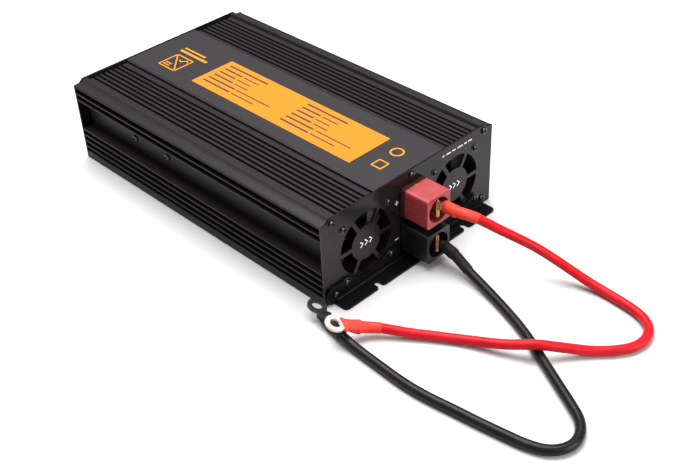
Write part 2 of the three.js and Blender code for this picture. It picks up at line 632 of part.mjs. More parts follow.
// The near lugs turn on their bolts: the red one up a little, the black one down.
const NEAR_TILT = { red: -3, black: 15 };
const LEADS = {
  red: {
    z: TERMINAL_Z.positive,
    route: RED_ROUTE,
    far: { end: RED_FAR_END, along: [-0.82, 0.51, 0.3], up: [0.25, -0.35, 0.9] },
  },
  black: {
    z: TERMINAL_Z.negative,
    route: BLACK_ROUTE,
    far: { end: BLACK_FAR_END, along: [0.2, 0.98, 0.04], up: [0.3, 0, 1] },
  },
};
const LEAD_FINISH = {
  red: [RED_CABLE, RED_SLEEVE, TINNED],
  black: [BLACK_CABLE, BLACK_CABLE, SHEET_BLACK],
};
const FAR_LIFT = { red: 0.05, black: 0.12 };
for (const [colour, { z, route, far }] of Object.entries(LEADS)) {
  const [cableFinish, sleeveFinish, lugFinish] = LEAD_FINISH[colour];
  const tilt = THREE.MathUtils.degToRad(NEAR_TILT[colour]);
  const along = [0, Math.cos(tilt), Math.sin(tilt)];
  const end = [LUG_X + BARREL_DROP, BOLT_Y - BARREL_END * along[1], z - BARREL_END * along[2]];
  const steps = colour === 'red' ? 38 : 44;
  lead(colour, { end, along }, route, far, cableFinish, sleeveFinish, steps);
  placeLug(`${colour}_near_lug`, 0, [LUG_X, BOLT_Y, z], along, [-1, 0, 0], lugFinish);
  const ring = ringCentreOf(far.end, far.along, far.up);
  placeLug(`${colour}_far_lug`, FAR_LIFT[colour], ring, far.along, far.up, lugFinish);
}

// ---------------------------------------------------------------- mains side
SOCKET_X.forEach((x, i) => {
  // Round recess behind a square face, two pin holes and an earth pin.
  const face = REAR_FACE + GAP;
  const flange = alongY(roundedRectangle(25, 25, 3.5, x, SOCKET_Z), face, face + 2.6, 2);
  const cup = rodAlongY(SOCKET_RADIUS, face - 24, face + 1, x, SOCKET_Z, 24);
  const recess = rodAlongY(SOCKET_RECESS, face - 15, face + 5, x, SOCKET_Z, 24);
  const holes = [-9.5, 9.5].map((dx) => rodAlongY(2.7, face - 22, face, x + dx, SOCKET_Z, 8));
  const earth = rodAlongY(2.4, face - 16, face - 1, x, SOCKET_Z + 10, 8);
  const base = cut(joined(flange, cup), recess, ...holes);
  add(`mains_socket_${i + 1}`, joined(base, earth), BLACK_PLASTIC);
});

const bezelOutline = roundedRectangle(9.2, 12.6, 1.5, SWITCH.x, SWITCH.z);
const switchBezel = alongY(bezelOutline, REAR_FACE + GAP, REAR_FACE + 2.3, 3);
function switchBlock(halfWidth, halfHeight, y0, y1) {
  const block = box(-halfWidth, halfWidth, y0, y1, -halfHeight, halfHeight);
  return block.translate(SWITCH.x, 0, SWITCH.z);
}
const switchBody = switchBlock(7.8, 11, REAR_FACE - 18, REAR_FACE + 1);
const switchWell = switchBlock(6.8, 10.1, REAR_FACE - 15, REAR_FACE + 4);
add('switch_housing', cut(joined(switchBezel, switchBody), switchWell), BLACK_PLASTIC);

const rockerOutline = shapeOf([[4.4, -8.6], [2.8, 0], [4.4, 8.6], [0, 8.8], [-5, 3], [-5, -3], [0, -8.8]]);
const rocker = add('power_rocker', alongX(rockerOutline, -6.4, 6.4), BLACK_PLASTIC);
rocker.position.set(SWITCH.x, REAR_FACE - 0.6, SWITCH.z);
rocker.rotation.x = THREE.MathUtils.degToRad(SWITCH.tilt);

for (const [name, x] of Object.entries(LED_X)) {
  const profile = [[0, -5], [2.5, -5], [2.5, 0.6], [2, 2], [1, 2.8], [0, 3]];
  const lens = new THREE.LatheGeometry(profile.map(([r, y]) => new THREE.Vector2(r, y)), 12);
  const finish = name === 'power_led' ? [0x3fae5a, 0.2, 0] : [0xc23a34, 0.2, 0];
  add(name, lens, finish).position.set(x, REAR_FACE, LED_Z);
}

const groundRod = rodAlongY(2.4, REAR_FACE - 6, REAR_FACE + 11, GROUND.x, GROUND.z, 12);
const groundWasher = rodAlongY(5.5, REAR_FACE + GAP, REAR_FACE + 1.6, GROUND.x, GROUND.z, 16);
const groundNut = rodAlongY(4.6, REAR_FACE + 1.2, REAR_FACE + 5.4, GROUND.x, GROUND.z, 6);
add('ground_stud', joined(groundRod, groundWasher, groundNut), BRASS);

// ---------------------------------------------------------------- inside
const BOARD_TOP = 11.6;
const ON_BOARD = BOARD_TOP + GAP;
add('main_board', box(-78, 78, 46, 300, BOARD_TOP - 1.6, BOARD_TOP), BOARD);
add('control_board', box(-76, -16, 286, 287.6, ON_BOARD, 50), BOARD);

function transformer(place, x, y) {
  // A ferrite frame with a middle leg, and the winding round that leg.
  const halfX = 23;
  const top = ON_BOARD + 40;
  const frame = box(x - halfX, x + halfX, y - 14, y + 14, ON_BOARD, top);
  const windows = [[-halfX + 6.5, -7], [7, halfX - 6.5]].map(([x0, x1]) => (
    box(x + x0, x + x1, y - 20, y + 20, ON_BOARD + 7, top - 7)
  ));
  add(`${place}_transformer_core`, cut(frame, ...windows), FERRITE);
  const outer = roundedRectangle(halfX - 7, 22, 4, x, y);
  outer.holes.push(rectangularHole(x, y, 7.4, 14.4));
  add(`${place}_transformer_winding`, alongZ(outer, ON_BOARD + 7.4, top - 7.4, 2), WINDING);
}
transformer('front', -30, 100);
transformer('rear', 30, 100);

const capacitors = { left_bulk_capacitor: [-26, 190, 15, 45], right_bulk_capacitor: [12, 190, 15, 45] };
for (let i = 0; i < 3; i += 1) capacitors[`input_capacitor_${i + 1}`] = [-24 + i * 24, 62, 8, 28];
for (const [name, [x, y, radius, height]] of Object.entries(capacitors)) {
  add(name, rodAlongZ(radius, ON_BOARD, ON_BOARD + height, x, y), CAPACITOR);
}

const coilSection = [[8, 0], [18, 0], [18, 15], [8, 15], [8, 0]].map(([r, h]) => new THREE.Vector2(r, h));
const coil = add('output_inductor', new THREE.LatheGeometry(coilSection, 20), WINDING);
coil.rotation.x = Math.PI / 2;
coil.position.set(0, 250, ON_BOARD);

export default inverter;
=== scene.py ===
"""Looks of the power inverter: the camera and leads first, then its pieces, materials, floor and light."""
import bisect
import json
import math

import bmesh
import bpy
from mathutils import Matrix, Vector
from mathutils.geometry import delaunay_2d_cdt


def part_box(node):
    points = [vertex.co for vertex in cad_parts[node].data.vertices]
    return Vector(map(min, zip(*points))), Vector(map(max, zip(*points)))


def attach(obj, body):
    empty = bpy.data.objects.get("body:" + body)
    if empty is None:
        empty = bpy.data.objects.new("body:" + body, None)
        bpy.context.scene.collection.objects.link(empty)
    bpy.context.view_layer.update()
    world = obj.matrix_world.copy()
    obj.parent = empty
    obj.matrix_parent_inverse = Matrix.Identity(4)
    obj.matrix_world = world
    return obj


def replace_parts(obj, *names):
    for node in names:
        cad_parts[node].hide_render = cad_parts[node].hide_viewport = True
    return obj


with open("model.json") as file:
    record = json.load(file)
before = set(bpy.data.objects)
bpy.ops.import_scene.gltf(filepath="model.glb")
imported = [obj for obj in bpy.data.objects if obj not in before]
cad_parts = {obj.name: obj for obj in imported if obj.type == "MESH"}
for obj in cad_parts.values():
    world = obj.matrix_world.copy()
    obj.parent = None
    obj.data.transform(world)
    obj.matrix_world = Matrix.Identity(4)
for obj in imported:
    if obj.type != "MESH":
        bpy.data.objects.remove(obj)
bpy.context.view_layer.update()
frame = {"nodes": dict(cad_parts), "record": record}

# ---------------------------------------------------------------- measures
# Shapes are drawn in millimetres, with y = 0 on the outer face of the front plate.
MM = 0.001
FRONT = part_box("front_plate")[0].y
TO_ROW = Matrix.Translation((0, FRONT, 0)) @ Matrix.Scale(MM, 4)
LENGTH = (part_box("rear_plate")[1].y - FRONT) / MM
HALF_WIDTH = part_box("front_plate")[1].x / MM
PLATE_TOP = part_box("front_plate")[1].z / MM
PLATE = 1.6
GAP = 0.3
CASE_START = PLATE + GAP
CASE_END = LENGTH - PLATE - GAP

PLATEAU_TOP = 80
PLATEAU_HALF = 41.4
DECK_TOP = 76.9
GROOVE_COUNT = 7
GROOVE_FIRST = 48.3
GROOVE_PITCH = 5.12
GROOVE_WIDTH = 2.5
GROOVE_FLOOR = 71.5
SIDE_WALL = 89.3
INNER_WALL = 86.6
SEAM_Z = 33.9
FIN_THICK = 1.6
LID_FINS = (68.6, 62.3)
BASE_FINS = (31.1, 24.9, 18.6, 12.3)

FAN_X = 52.7
FAN_Z = 38.5
FAN_DEPTH = 25
FAN_BORE = 28.3
FAN_SCREW = 25
HUB_RADIUS = 16
SPOKE_COUNT = 6
SPOKE_WIDTH = 3.6
BLADE_COUNT = 7

SHEET = 1.6
FOOT_REACH = 15.5
FOOT_LEG = 16.5
SLOT_X = 52.4
SLOT_HALF = 2.5

TERMINAL_Z = {"positive": 55.1, "negative": 20.6}
HOOD_HALF = 13.5
HOOD_REACH = 29
HOOD_BORE = 11.3
COLLAR_DEPTH = 4.5
BAR_X = 1.2
BAR_HEIGHT = 18
BOLT_Y = -15

CABLE_SKIN = 3.95  # the visual cable, which stays inside its solid at the bends
LUG_X = 4.2
LUG_RING = 8
LUG_HOLE = 4.2
LUG_THICK = 2.2
BARREL_START = 12
BARREL_END = 24
BARREL_DROP = 1.5
BARREL_RADIUS = 3.9

PLATE_SCREWS = {
    "top_left": (-88.9, 75.2), "top_middle": (0, 75.2), "top_right": (88.9, 75.2),
    "bottom_left": (-90, 8.6), "bottom_right": (88.9, 6.8),
}
SIDE_SCREW_Y = {"front": 206.6, "rear": 253}
SIDE_SCREW_Z = 45.5

SOCKETS = {"mains_socket_1": 60, "mains_socket_2": 8}
SOCKET_Z = 41
SOCKET_RADIUS = 21.7
SOCKET_BORE = 19.8
SWITCH_X, SWITCH_Z, SWITCH_TILT = -38, 50, 7
LAMPS = {"power_led": -42, "fault_led": -34}
LAMP_Z = 29
GROUND_X, GROUND_Z = -72, 22


# ---------------------------------------------------------------- mesh helpers
def turn(angle):
    """Cosine and sine of an angle in degrees."""
    return math.cos(math.radians(angle)), math.sin(math.radians(angle))


def arc(cx, cz, radius, start, end, count=12):
    """Points along an arc, both ends included."""
    angles = [start + (end - start) * i / count for i in range(count + 1)]
    return [(cx + radius * turn(a)[0], cz + radius * turn(a)[1]) for a in angles]


def ring(cx, cz, radius, count=48):
    return arc(cx, cz, radius, 0, 360, count)[:-1]


def rectangle(x0, x1, z0, z1):
    return [(x0, z0), (x1, z0), (x1, z1), (x0, z1)]


def rounded(half_x, half_z, radius, cx=0, cz=0, count=7):
    """The outline of a rectangle with round corners."""
    points = []
    for i, (sx, sz) in enumerate(((1, -1), (1, 1), (-1, 1), (-1, -1))):
        x, z = cx + sx * (half_x - radius), cz + sz * (half_z - radius)
        points += arc(x, z, radius, -90 + 90 * i, 90 * i, count)
    return points


def mirrored(half):
    return half + [(-x, z) for x, z in reversed(half)]


def prism(loops, low, high, axis="y"):
    """A solid between two planes. The first loop is its outline and the others are holes."""
    place = {
        "x": lambda a, b: (low, a, b),
        "y": lambda a, b: (a, low, b),
        "z": lambda a, b: (a, b, low),
    }[axis]
    coords, faces = [], []
    for loop in loops:
        faces.append(list(range(len(coords), len(coords) + len(loop))))
        coords += [Vector(point) for point in loop]
    flat, _, cells, *_ = delaunay_2d_cdt(coords, [], faces, 2, 1e-5)
    bm = bmesh.new()
    corners = [bm.verts.new(place(a, b)) for a, b in flat]
    for cell in cells:
        bm.faces.new([corners[i] for i in cell])
    bmesh.ops.dissolve_limit(bm, angle_limit=0.01, verts=bm.verts, edges=bm.edges)
    swept = bmesh.ops.extrude_face_region(bm, geom=bm.faces[:])["geom"]
    offset = Vector([high - low if axis == name else 0 for name in "xyz"])
    bmesh.ops.translate(bm, vec=offset, verts=[v for v in swept if isinstance(v, bmesh.types.BMVert)])
    bmesh.ops.recalc_face_normals(bm, faces=bm.faces)
    return bm


def block(x0, x1, y0, y1, z0, z1):
    return prism([rectangle(x0, x1, y0, y1)], z0, z1, "z")


def rod(radius, low, high, a, b, axis="y", sides=48):
    return prism([ring(a, b, radius, sides)], low, high, axis)


def loft(sections):
    """A closed skin over rings of points. A section of one point closes to a tip."""
    bm = bmesh.new()
    rings = [[bm.verts.new(point) for point in section] for section in sections]
    for lower, upper in zip(rings, rings[1:]):
        count = max(len(lower), len(upper))
        for i in range(count):
            corners = [lower[i % len(lower)], lower[(i + 1) % len(lower)]]
            corners += [upper[(i + 1) % len(upper)], upper[i % len(upper)]]
            bm.faces.new(list(dict.fromkeys(corners)))
    for end in (rings[0], rings[-1]):
        if len(end) > 2:
            bm.faces.new(end)
    bmesh.ops.recalc_face_normals(bm, faces=bm.faces)
    return bm


def lathe(profile, sides=48):
    """A solid of revolution round Z, from (radius, height) pairs."""
    sections = []
    for radius, height in profile:
        points = ring(0, 0, radius, sides) if radius > 0 else [(0, 0)]
        sections.append([(x, y, height) for x, y in points])
    return loft(sections)


def moved(bm, matrix):
    bmesh.ops.transform(bm, matrix=matrix, verts=bm.verts)
    return bm


def facing(direction, place):
    """The matrix that turns Z to a direction and puts the origin at a place."""
    return Matrix.Translation(place) @ Vector(direction).to_track_quat("Z", "Y").to_matrix().to_4x4()


def as_mesh(name, bm):
    mesh = bpy.data.meshes.new(name)
    bm.to_mesh(mesh)
    bm.free()
    return mesh


def merged(*parts):
    whole = bmesh.new()
    for part in parts:
        mesh = as_mesh("part", part)
        whole.from_mesh(mesh)
        bpy.data.meshes.remove(mesh)
    return whole


def combined(base, cutters, operation="DIFFERENCE"):
    """The base cut by, or joined to, the other solids."""
    parts = [bpy.data.objects.new("part", as_mesh("part", bm)) for bm in (base, *cutters)]
    for part in parts:
        bpy.context.collection.objects.link(part)
    for cutter in parts[1:]:
        modifier = parts[0].modifiers.new("combine", "BOOLEAN")
        modifier.operation = operation
        modifier.solver = "EXACT"
        modifier.object = cutter
    result = bmesh.new()
    result.from_object(parts[0], bpy.context.evaluated_depsgraph_get())
    for part in parts:
        bpy.data.meshes.remove(part.data)
    return result


def piece(name, bm, material, body="root", replaces=(), bevel=0.0, segments=2):
    """Adds a finished piece to the scene, from a shape in millimetres."""
    mesh = as_mesh(name, moved(bm, TO_ROW))
    mesh.shade_smooth()
    mesh.set_sharp_from_angle(angle=math.radians(35))
    mesh.materials.append(material)
    obj = bpy.data.objects.new(f"{name}_look", mesh)
    bpy.context.collection.objects.link(obj)
    if bevel:
        soften = obj.modifiers.new("soft edges", "BEVEL")
        soften.width = bevel * MM
        soften.segments = segments
        soften.limit_method = "ANGLE"
        soften.angle_limit = math.radians(35)
        soften.miter_outer = "MITER_ARC"
        weigh = obj.modifiers.new("flat faces", "WEIGHTED_NORMAL")
        weigh.keep_sharp = True
    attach(obj, body)
    if replaces:
        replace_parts(obj, *([replaces] if isinstance(replaces, str) else replaces))
    return obj


# ---------------------------------------------------------------- materials
class Finish:
    """One procedural material: a Principled shader with textures that are laid out in millimetres."""

    def __init__(self, name, **sockets):
        self.material = bpy.data.materials.new(name)
        self.material.use_nodes = True
        self.nodes = self.material.node_tree.nodes
        self.links = self.material.node_tree.links
        self.shader = self.nodes["Principled BSDF"]
        for socket, value in sockets.items():
            self.shader.inputs[socket.replace("_", " ")].default_value = value

    def add(self, kind, **values):
        node = self.nodes.new(kind)
        for key, value in values.items():
            setattr(node, key, value)
        return node

    def noise(self, size, stretch=(1, 1, 1), detail=3):
        """A noise whose grains are about size millimetres, longer where stretch is large."""
        coords = self.add("ShaderNodeTexCoord")
        mapping = self.add("ShaderNodeMapping")
        mapping.inputs["Scale"].default_value = [1 / (size * MM * s) for s in stretch]
        texture = self.add("ShaderNodeTexNoise")
        texture.inputs["Scale"].default_value = 1
        texture.inputs["Detail"].default_value = detail
        self.links.new(coords.outputs["Object"], mapping.inputs["Vector"])
        self.links.new(mapping.outputs["Vector"], texture.inputs["Vector"])
        return texture.outputs["Fac"]

    def colour(self, factor, dark, light, low=0.35, high=0.65):
        ramp = self.add("ShaderNodeValToRGB")
        ramp.color_ramp.elements[0].position = low
        ramp.color_ramp.elements[1].position = high
        ramp.color_ramp.elements[0].color = (*dark, 1)
        ramp.color_ramp.elements[1].color = (*light, 1)
        self.links.new(factor, ramp.inputs["Fac"])
        self.links.new(ramp.outputs["Color"], self.shader.inputs["Base Color"])

    def roughness(self, factor, low, high):
        spread = self.add("ShaderNodeMapRange")
        spread.inputs["To Min"].default_value = low
        spread.inputs["To Max"].default_value = high
        self.links.new(factor, spread.inputs["Value"])
        self.links.new(spread.outputs["Result"], self.shader.inputs["Roughness"])

    def bump(self, factor, depth, strength=1.0):
        node = self.add("ShaderNodeBump")
        node.inputs["Strength"].default_value = strength
        node.inputs["Distance"].default_value = depth * MM
        self.links.new(factor, node.inputs["Height"])
        self.links.new(node.outputs["Normal"], self.shader.inputs["Normal"])


def scaled(colour, factor):
    return [channel * factor for channel in colour]


def anodised(name, colour):
    """An anodised extrusion, with faint die lines along it."""
    finish = Finish(name, Metallic=0.0, Specular_IOR_Level=0.1)
    grain = finish.noise(0.5, stretch=(1, 60, 1))
    finish.colour(grain, scaled(colour, 0.87), scaled(colour, 1.13))
    finish.roughness(grain, 0.3, 0.42)
    finish.bump(grain, 0.01, 0.4)
    return finish.material


def powder_coat(name, colour, roughness, shine=0.3):
    finish = Finish(name, Metallic=0.0, Specular_IOR_Level=shine)
    finish.colour(finish.noise(9), scaled(colour, 0.85), scaled(colour, 1.15))
    grain = finish.noise(0.35)
    finish.roughness(grain, roughness - 0.06, roughness + 0.06)
    finish.bump(grain, 0.008, 0.2)
    return finish.material


def moulded(name, colour, roughness, glow=0.0):
    """Moulded plastic, with a fine spark-eroded grain and, where glow is set, some light inside it."""
    finish = Finish(name, Subsurface_Weight=glow, Subsurface_Scale=0.003, Specular_IOR_Level=0.35)
    finish.shader.inputs["Subsurface Radius"].default_value = (1.0, 0.25, 0.15)
    finish.colour(finish.noise(6), scaled(colour, 0.9), scaled(colour, 1.1))
    grain = finish.noise(0.25)
    finish.roughness(grain, roughness - 0.05, roughness + 0.08)
    finish.bump(grain, 0.015, 0.4)
    return finish.material


def bare_metal(name, colour, low, high, stretch=(1, 1, 1), metallic=1.0):
    finish = Finish(name, Metallic=metallic)
    finish.colour(finish.noise(2.5), scaled(colour, 0.8), colour)
    grain = finish.noise(0.3, stretch)
    finish.roughness(grain, low, high)
    finish.bump(grain, 0.01, 0.3)
    return finish.material


def insulation(name, colour, roughness, shine=0.25):
    """Cable insulation and heat-shrink: smooth, with slow unevenness left by the strands below."""
    finish = Finish(name, Specular_IOR_Level=shine)
    finish.colour(finish.noise(14), scaled(colour, 0.9), scaled(colour, 1.08))
    finish.roughness(finish.noise(1.2), roughness - 0.06, roughness + 0.08)
    finish.bump(finish.noise(5, detail=1), 0.25, 0.5)
    return finish.material


def printed(name, colour, roughness=0.55):
    finish = Finish(name, Specular_IOR_Level=0.15)
    grain = finish.noise(0.6)
    finish.colour(grain, scaled(colour, 0.94), colour)
    finish.roughness(grain, roughness, roughness + 0.1)
    return finish.material


def lens(name, colour):
    finish = Finish(name, Transmission_Weight=0.3, IOR=1.49)
    finish.colour(finish.noise(1.5), scaled(colour, 0.8), colour)
    finish.roughness(finish.noise(0.5), 0.12, 0.2)
    return finish.material


def circuit_board():
    finish = Finish("circuit_board", Specular_IOR_Level=0.4)
    tracks = finish.add("ShaderNodeTexBrick")
    tracks.inputs["Scale"].default_value = 160
    tracks.inputs["Color1"].default_value = (0.012, 0.09, 0.035, 1)
    tracks.inputs["Color2"].default_value = (0.018, 0.12, 0.05, 1)
    tracks.inputs["Mortar"].default_value = (0.04, 0.2, 0.08, 1)
    coords = finish.add("ShaderNodeTexCoord")
    finish.links.new(coords.outputs["Object"], tracks.inputs["Vector"])
    finish.links.new(tracks.outputs["Color"], finish.shader.inputs["Base Color"])
    finish.roughness(finish.noise(2), 0.3, 0.45)
    return finish.material


def winding():
    finish = Finish("copper_winding")
    turns = finish.noise(1.2, stretch=(30, 30, 0.6), detail=1)
    finish.colour(turns, (0.3, 0.13, 0.03), (0.6, 0.4, 0.06))
    finish.roughness(turns, 0.3, 0.5)
    finish.bump(turns, 0.3, 0.6)
    return finish.material


LOOKS = {
    "anodised_case": anodised("anodised_case", (0.0185, 0.0168, 0.0175)),
    "lid_panel": anodised("lid_panel", (0.029, 0.0265, 0.0285)),
    "painted_plate": powder_coat("painted_plate", (0.0078, 0.0063, 0.0066), 0.2, shine=0.21),
    "black_sheet": powder_coat("black_sheet", (0.0025, 0.0025, 0.0025), 0.38, shine=0.15),
    "black_plastic": moulded("black_plastic", (0.006, 0.006, 0.0065), 0.4),
    "red_plastic": moulded("red_plastic", (0.28, 0.034, 0.037), 0.4, glow=0.2),
    # The positive collar is dark plastic; its red-brown tint is painted reflection of the red hood beside it.
    "dark_red_plastic": moulded("dark_red_plastic", (0.035, 0.011, 0.009), 0.3),
    "brass": bare_metal("brass", (0.72, 0.46, 0.19), 0.18, 0.34),
    "copper": bare_metal("copper", (0.75, 0.36, 0.2), 0.2, 0.36),
    "zinc_steel": bare_metal("zinc_steel", (0.55, 0.56, 0.58), 0.22, 0.38),
    "black_screw": powder_coat("black_screw", (0.006, 0.006, 0.006), 0.2, shine=0.5),
    "red_cable": insulation("red_cable", (0.45, 0.0095, 0.0145), 0.3, shine=0.1),
    "red_sleeve": insulation("red_sleeve", (0.62, 0.042, 0.026), 0.45, shine=0.13),
    "black_cable": insulation("black_cable", (0.011, 0.0096, 0.0103), 0.27, shine=0.12),
    "black_sleeve": insulation("black_sleeve", (0.015, 0.0135, 0.0142), 0.5, shine=0.1),
    "tinned_copper": bare_metal("tinned_copper", (0.6, 0.53, 0.475), 0.34, 0.44, metallic=0.3),
    "black_lug": powder_coat("black_lug", (0.02, 0.019, 0.02), 0.35),
    "circuit_board": circuit_board(),
    "aluminium": bare_metal("aluminium", (0.7, 0.7, 0.71), 0.3, 0.45, stretch=(1, 30, 1)),
    "ferrite": powder_coat("ferrite", (0.03, 0.03, 0.034), 0.6),
    "copper_winding": winding(),
    "capacitor_sleeve": insulation("capacitor_sleeve", (0.02, 0.025, 0.045), 0.3),
    "green_lens": lens("green_lens", (0.05, 0.5, 0.12)),
    "red_lens": lens("red_lens", (0.6, 0.04, 0.03)),
    "label": printed("label", (0.56, 0.17, 0.0095), 0.5),
    "golden_ink": printed("golden_ink", (0.56, 0.208, 0.0105), 0.5),
    "label_ink": printed("label_ink", (0.06, 0.04, 0.03)),
    "white_ink": printed("white_ink", (0.8, 0.79, 0.78)),
}


# ---------------------------------------------------------------- camera
def make_camera():
    """A camera in front of the left corner, looking down on the terminals."""
    data = bpy.data.cameras.new("camera")
    data.sensor_width = 36
    data.lens = 57.59
    camera = bpy.data.objects.new("camera", data)
    bpy.context.collection.objects.link(camera)
    right = Vector((0.7073, -0.7060, -0.0366))
    up = Vector((0.4450, 0.4044, 0.7990))
    turned = Matrix((right, up, right.cross(up))).transposed().to_4x4()
    camera.matrix_world = Matrix.Translation(TO_ROW @ Vector((-542.2, -499.8, 571.9))) @ turned
    bpy.context.scene.camera = camera


make_camera()

# ---------------------------------------------------------------- battery leads
RED_ROUTE = [
    (6, -43.6, 56.7), (8, -51, 56.5), (11.5, -58.8, 54.8), (15.6, -66.5, 51.3), (20.4, -74.9, 46.9),
    (29.2, -86.2, 39.3), (39.2, -97, 30), (47.5, -109.2, 20.3), (53.2, -123.4, 12.2), (56.5, -138.5, 6.6),
    (57.6, -152.5, 4.3), (56.6, -167, 4.05), (55, -179, 4.05), (51.3, -190.5, 4.05), (43.8, -199.8, 4.05),
    (32.5, -204, 4.05), (20.5, -202.6, 4.05), (8.5, -195.4, 4.05), (-3.5, -184, 4.3), (-18.6, -169.4, 8.4),
    (-33.5, -155.3, 12.8), (-46, -135, 9), (-58, -108, 4.6), (-72, -85, 4.3), (-81.4, -71.9, 5.2),
    (-89.2, -61.2, 6.9), (-95.2, -53.6, 8.2),
]
BLACK_ROUTE = [
    (5.3, -44.5, 12.5), (2.5, -58.5, 8.4), (-1.2, -75, 6), (-6.2, -93.5, 4.4), (-12.8, -112.5, 4.05),
    (-20.2, -130.8, 4.05), (-30, -150.6, 4.05), (-40.6, -170, 4.05), (-50.6, -188.6, 4.05),
    (-59, -204.2, 4.05), (-66.4, -216, 4.05), (-75.5, -223.6, 4.05), (-86, -226.6, 4.05), (-96, -224, 4.05),
    (-104, -216.6, 4.05), (-109, -204.6, 4.05), (-112.4, -187, 4.05), (-115.6, -167, 4.05),
    (-118.4, -146, 4.05), (-121, -128, 4.05), (-122.4, -110, 4.05), (-122.2, -94, 4.05), (-121.4, -80, 4.05),
    (-120.8, -68, 4.1), (-120.2, -54, 4.7), (-119.6, -46, 5.35), (-118.3, -37, 5.45),
]
LEADS = {
    "red": {
        "terminal": "positive", "route": RED_ROUTE, "tilt": -3, "lift": 0.05,
        "far": ((-103.2, -46.1, 9.6), (-0.82, 0.51, 0.3), (0.25, -0.35, 0.9)),
        "sleeve": "red_sleeve", "lug": "tinned_copper",
    },
    "black": {
        "terminal": "negative", "route": BLACK_ROUTE, "tilt": 15, "lift": 0.12,
        "far": ((-115.8, -25, 5.6), (0.2, 0.98, 0.04), (0.3, 0, 1)),
        "sleeve": "black_cable", "lug": "black_lug",
    },
}
# Along a sleeve from its lug: millimetres, half width across the palm, half height, the rise of its
# middle towards the palm, and how far its sides lead or trail each other.
NEAR_SLEEVE = [(-1, 5.3, 3.8, 0, 0), (0, 5.5, 4.3, 0, 0), (5, 5.1, 4.9, 0, 0), (9, 5.1, 5.1, 0, 0),
               (10.6, 5.1, 5.1, 0, 0), (12.6, 4.5, 4.5, 0, 0), (24, 4.45, 4.45, 0, 0), (29.4, 4.4, 4.4, 0, 0),
               (30, 4.25, 4.25, 0, 0)]
FAR_SLEEVES = {
    "red": [(-9.5, 6.8, 1.9, 1.7, 1.8), (-8.6, 7.2, 2.3, 1.7, 1.8), (-5.4, 5.4, 3.6, 1.2, 0.8),
            (-1, 5.5, 4.5, 0.4, 0), (2, 5.6, 5.1, 0, 0), (4.7, 5.8, 5.6, 0, 0), (7, 4.7, 4.7, 0, 0),
            (21.4, 4.35, 4.35, 0, 0), (22, 4.2, 4.2, 0, 0)],
    "black": [(-5.5, 6.6, 2.2, 1.6, 0), (-4.6, 7.0, 2.6, 1.5, 0), (-1, 5.8, 3.8, 0.8, 0), (3, 5.2, 4.8, 0, 0),
              (8, 5.3, 5.2, 0, 0), (11, 4.6, 4.6, 0, 0), (21.4, 4.4, 4.4, 0, 0), (22, 4.25, 4.25, 0, 0)],
}


def smooth_path(points, steps=10):
    """A centripetal Catmull-Rom curve through the points, as closely spaced points."""
    ends = [points[0] * 2 - points[1], *points, points[-1] * 2 - points[-2]]
    path = []
    for p0, p1, p2, p3 in zip(ends, ends[1:], ends[2:], ends[3:]):
        d0, d1, d2 = (math.sqrt((b - a).length) for a, b in ((p0, p1), (p1, p2), (p2, p3)))
        leaving = ((p1 - p0) / d0 - (p2 - p0) / (d0 + d1) + (p2 - p1) / d1) * d1
        arriving = ((p2 - p1) / d1 - (p3 - p1) / (d1 + d2) + (p3 - p2) / d2) * d1
        square = (p2 - p1) * 3 - leaving * 2 - arriving
        cube = (p1 - p2) * 2 + leaving + arriving
        for t in (step / steps for step in range(steps)):
            path.append(p1 + leaving * t + square * t ** 2 + cube * t ** 3)
    return [*path, points[-1]]


def distances(path):
    """The distance along a path to each of its points."""
    run = [0.0]
    for a, b in zip(path, path[1:]):
        run.append(run[-1] + (b - a).length)
    return run


def stretch(path, start, end, count):
    """Evenly spaced points on a path, between two distances along it."""
    run = distances(path)
    points = []
    for i in range(count):
        distance = start + (end - start) * i / (count - 1)
        index = min(max(bisect.bisect(run, distance) - 1, 0), len(path) - 2)
        share = (distance - run[index]) / (run[index + 1] - run[index])
        points.append(path[index].lerp(path[index + 1], share))
    return points


def between(profile, distance):
    """Interpolates the sizes in a profile, easing from each entry to the next."""
    for (d0, *low), (d1, *high) in zip(profile, profile[1:]):
        if distance <= d1:
            share = min(max((distance - d0) / (d1 - d0), 0), 1)
            eased = share * share * (3 - 2 * share)
            return [a + (b - a) * eased for a, b in zip(low, high)]
    return profile[-1][1:]


def sleeve_shape(points, sizes, up, sides=40):
    """A closed tube over the points, whose rings have the given sizes."""
    sections = []
    for i, centre in enumerate(points):
        along = (points[min(i + 1, len(points) - 1)] - points[max(i - 1, 0)]).normalized()
        up = (up - along * up.dot(along)).normalized()
        across = along.cross(up)
        width, height, rise, skew = sizes[i]
        middle = centre + up * rise
        side = across * width + along * skew
        sections.append([middle + side * a + up * (height * b) for a, b in ring(0, 0, 1, sides)])
    return loft(sections)


def lug_place(centre, along, up):
    tip = along.normalized()
    normal = (up - tip * up.dot(tip)).normalized()
    return Matrix.Translation(centre) @ Matrix((tip.cross(normal), tip, normal)).transposed().to_4x4()


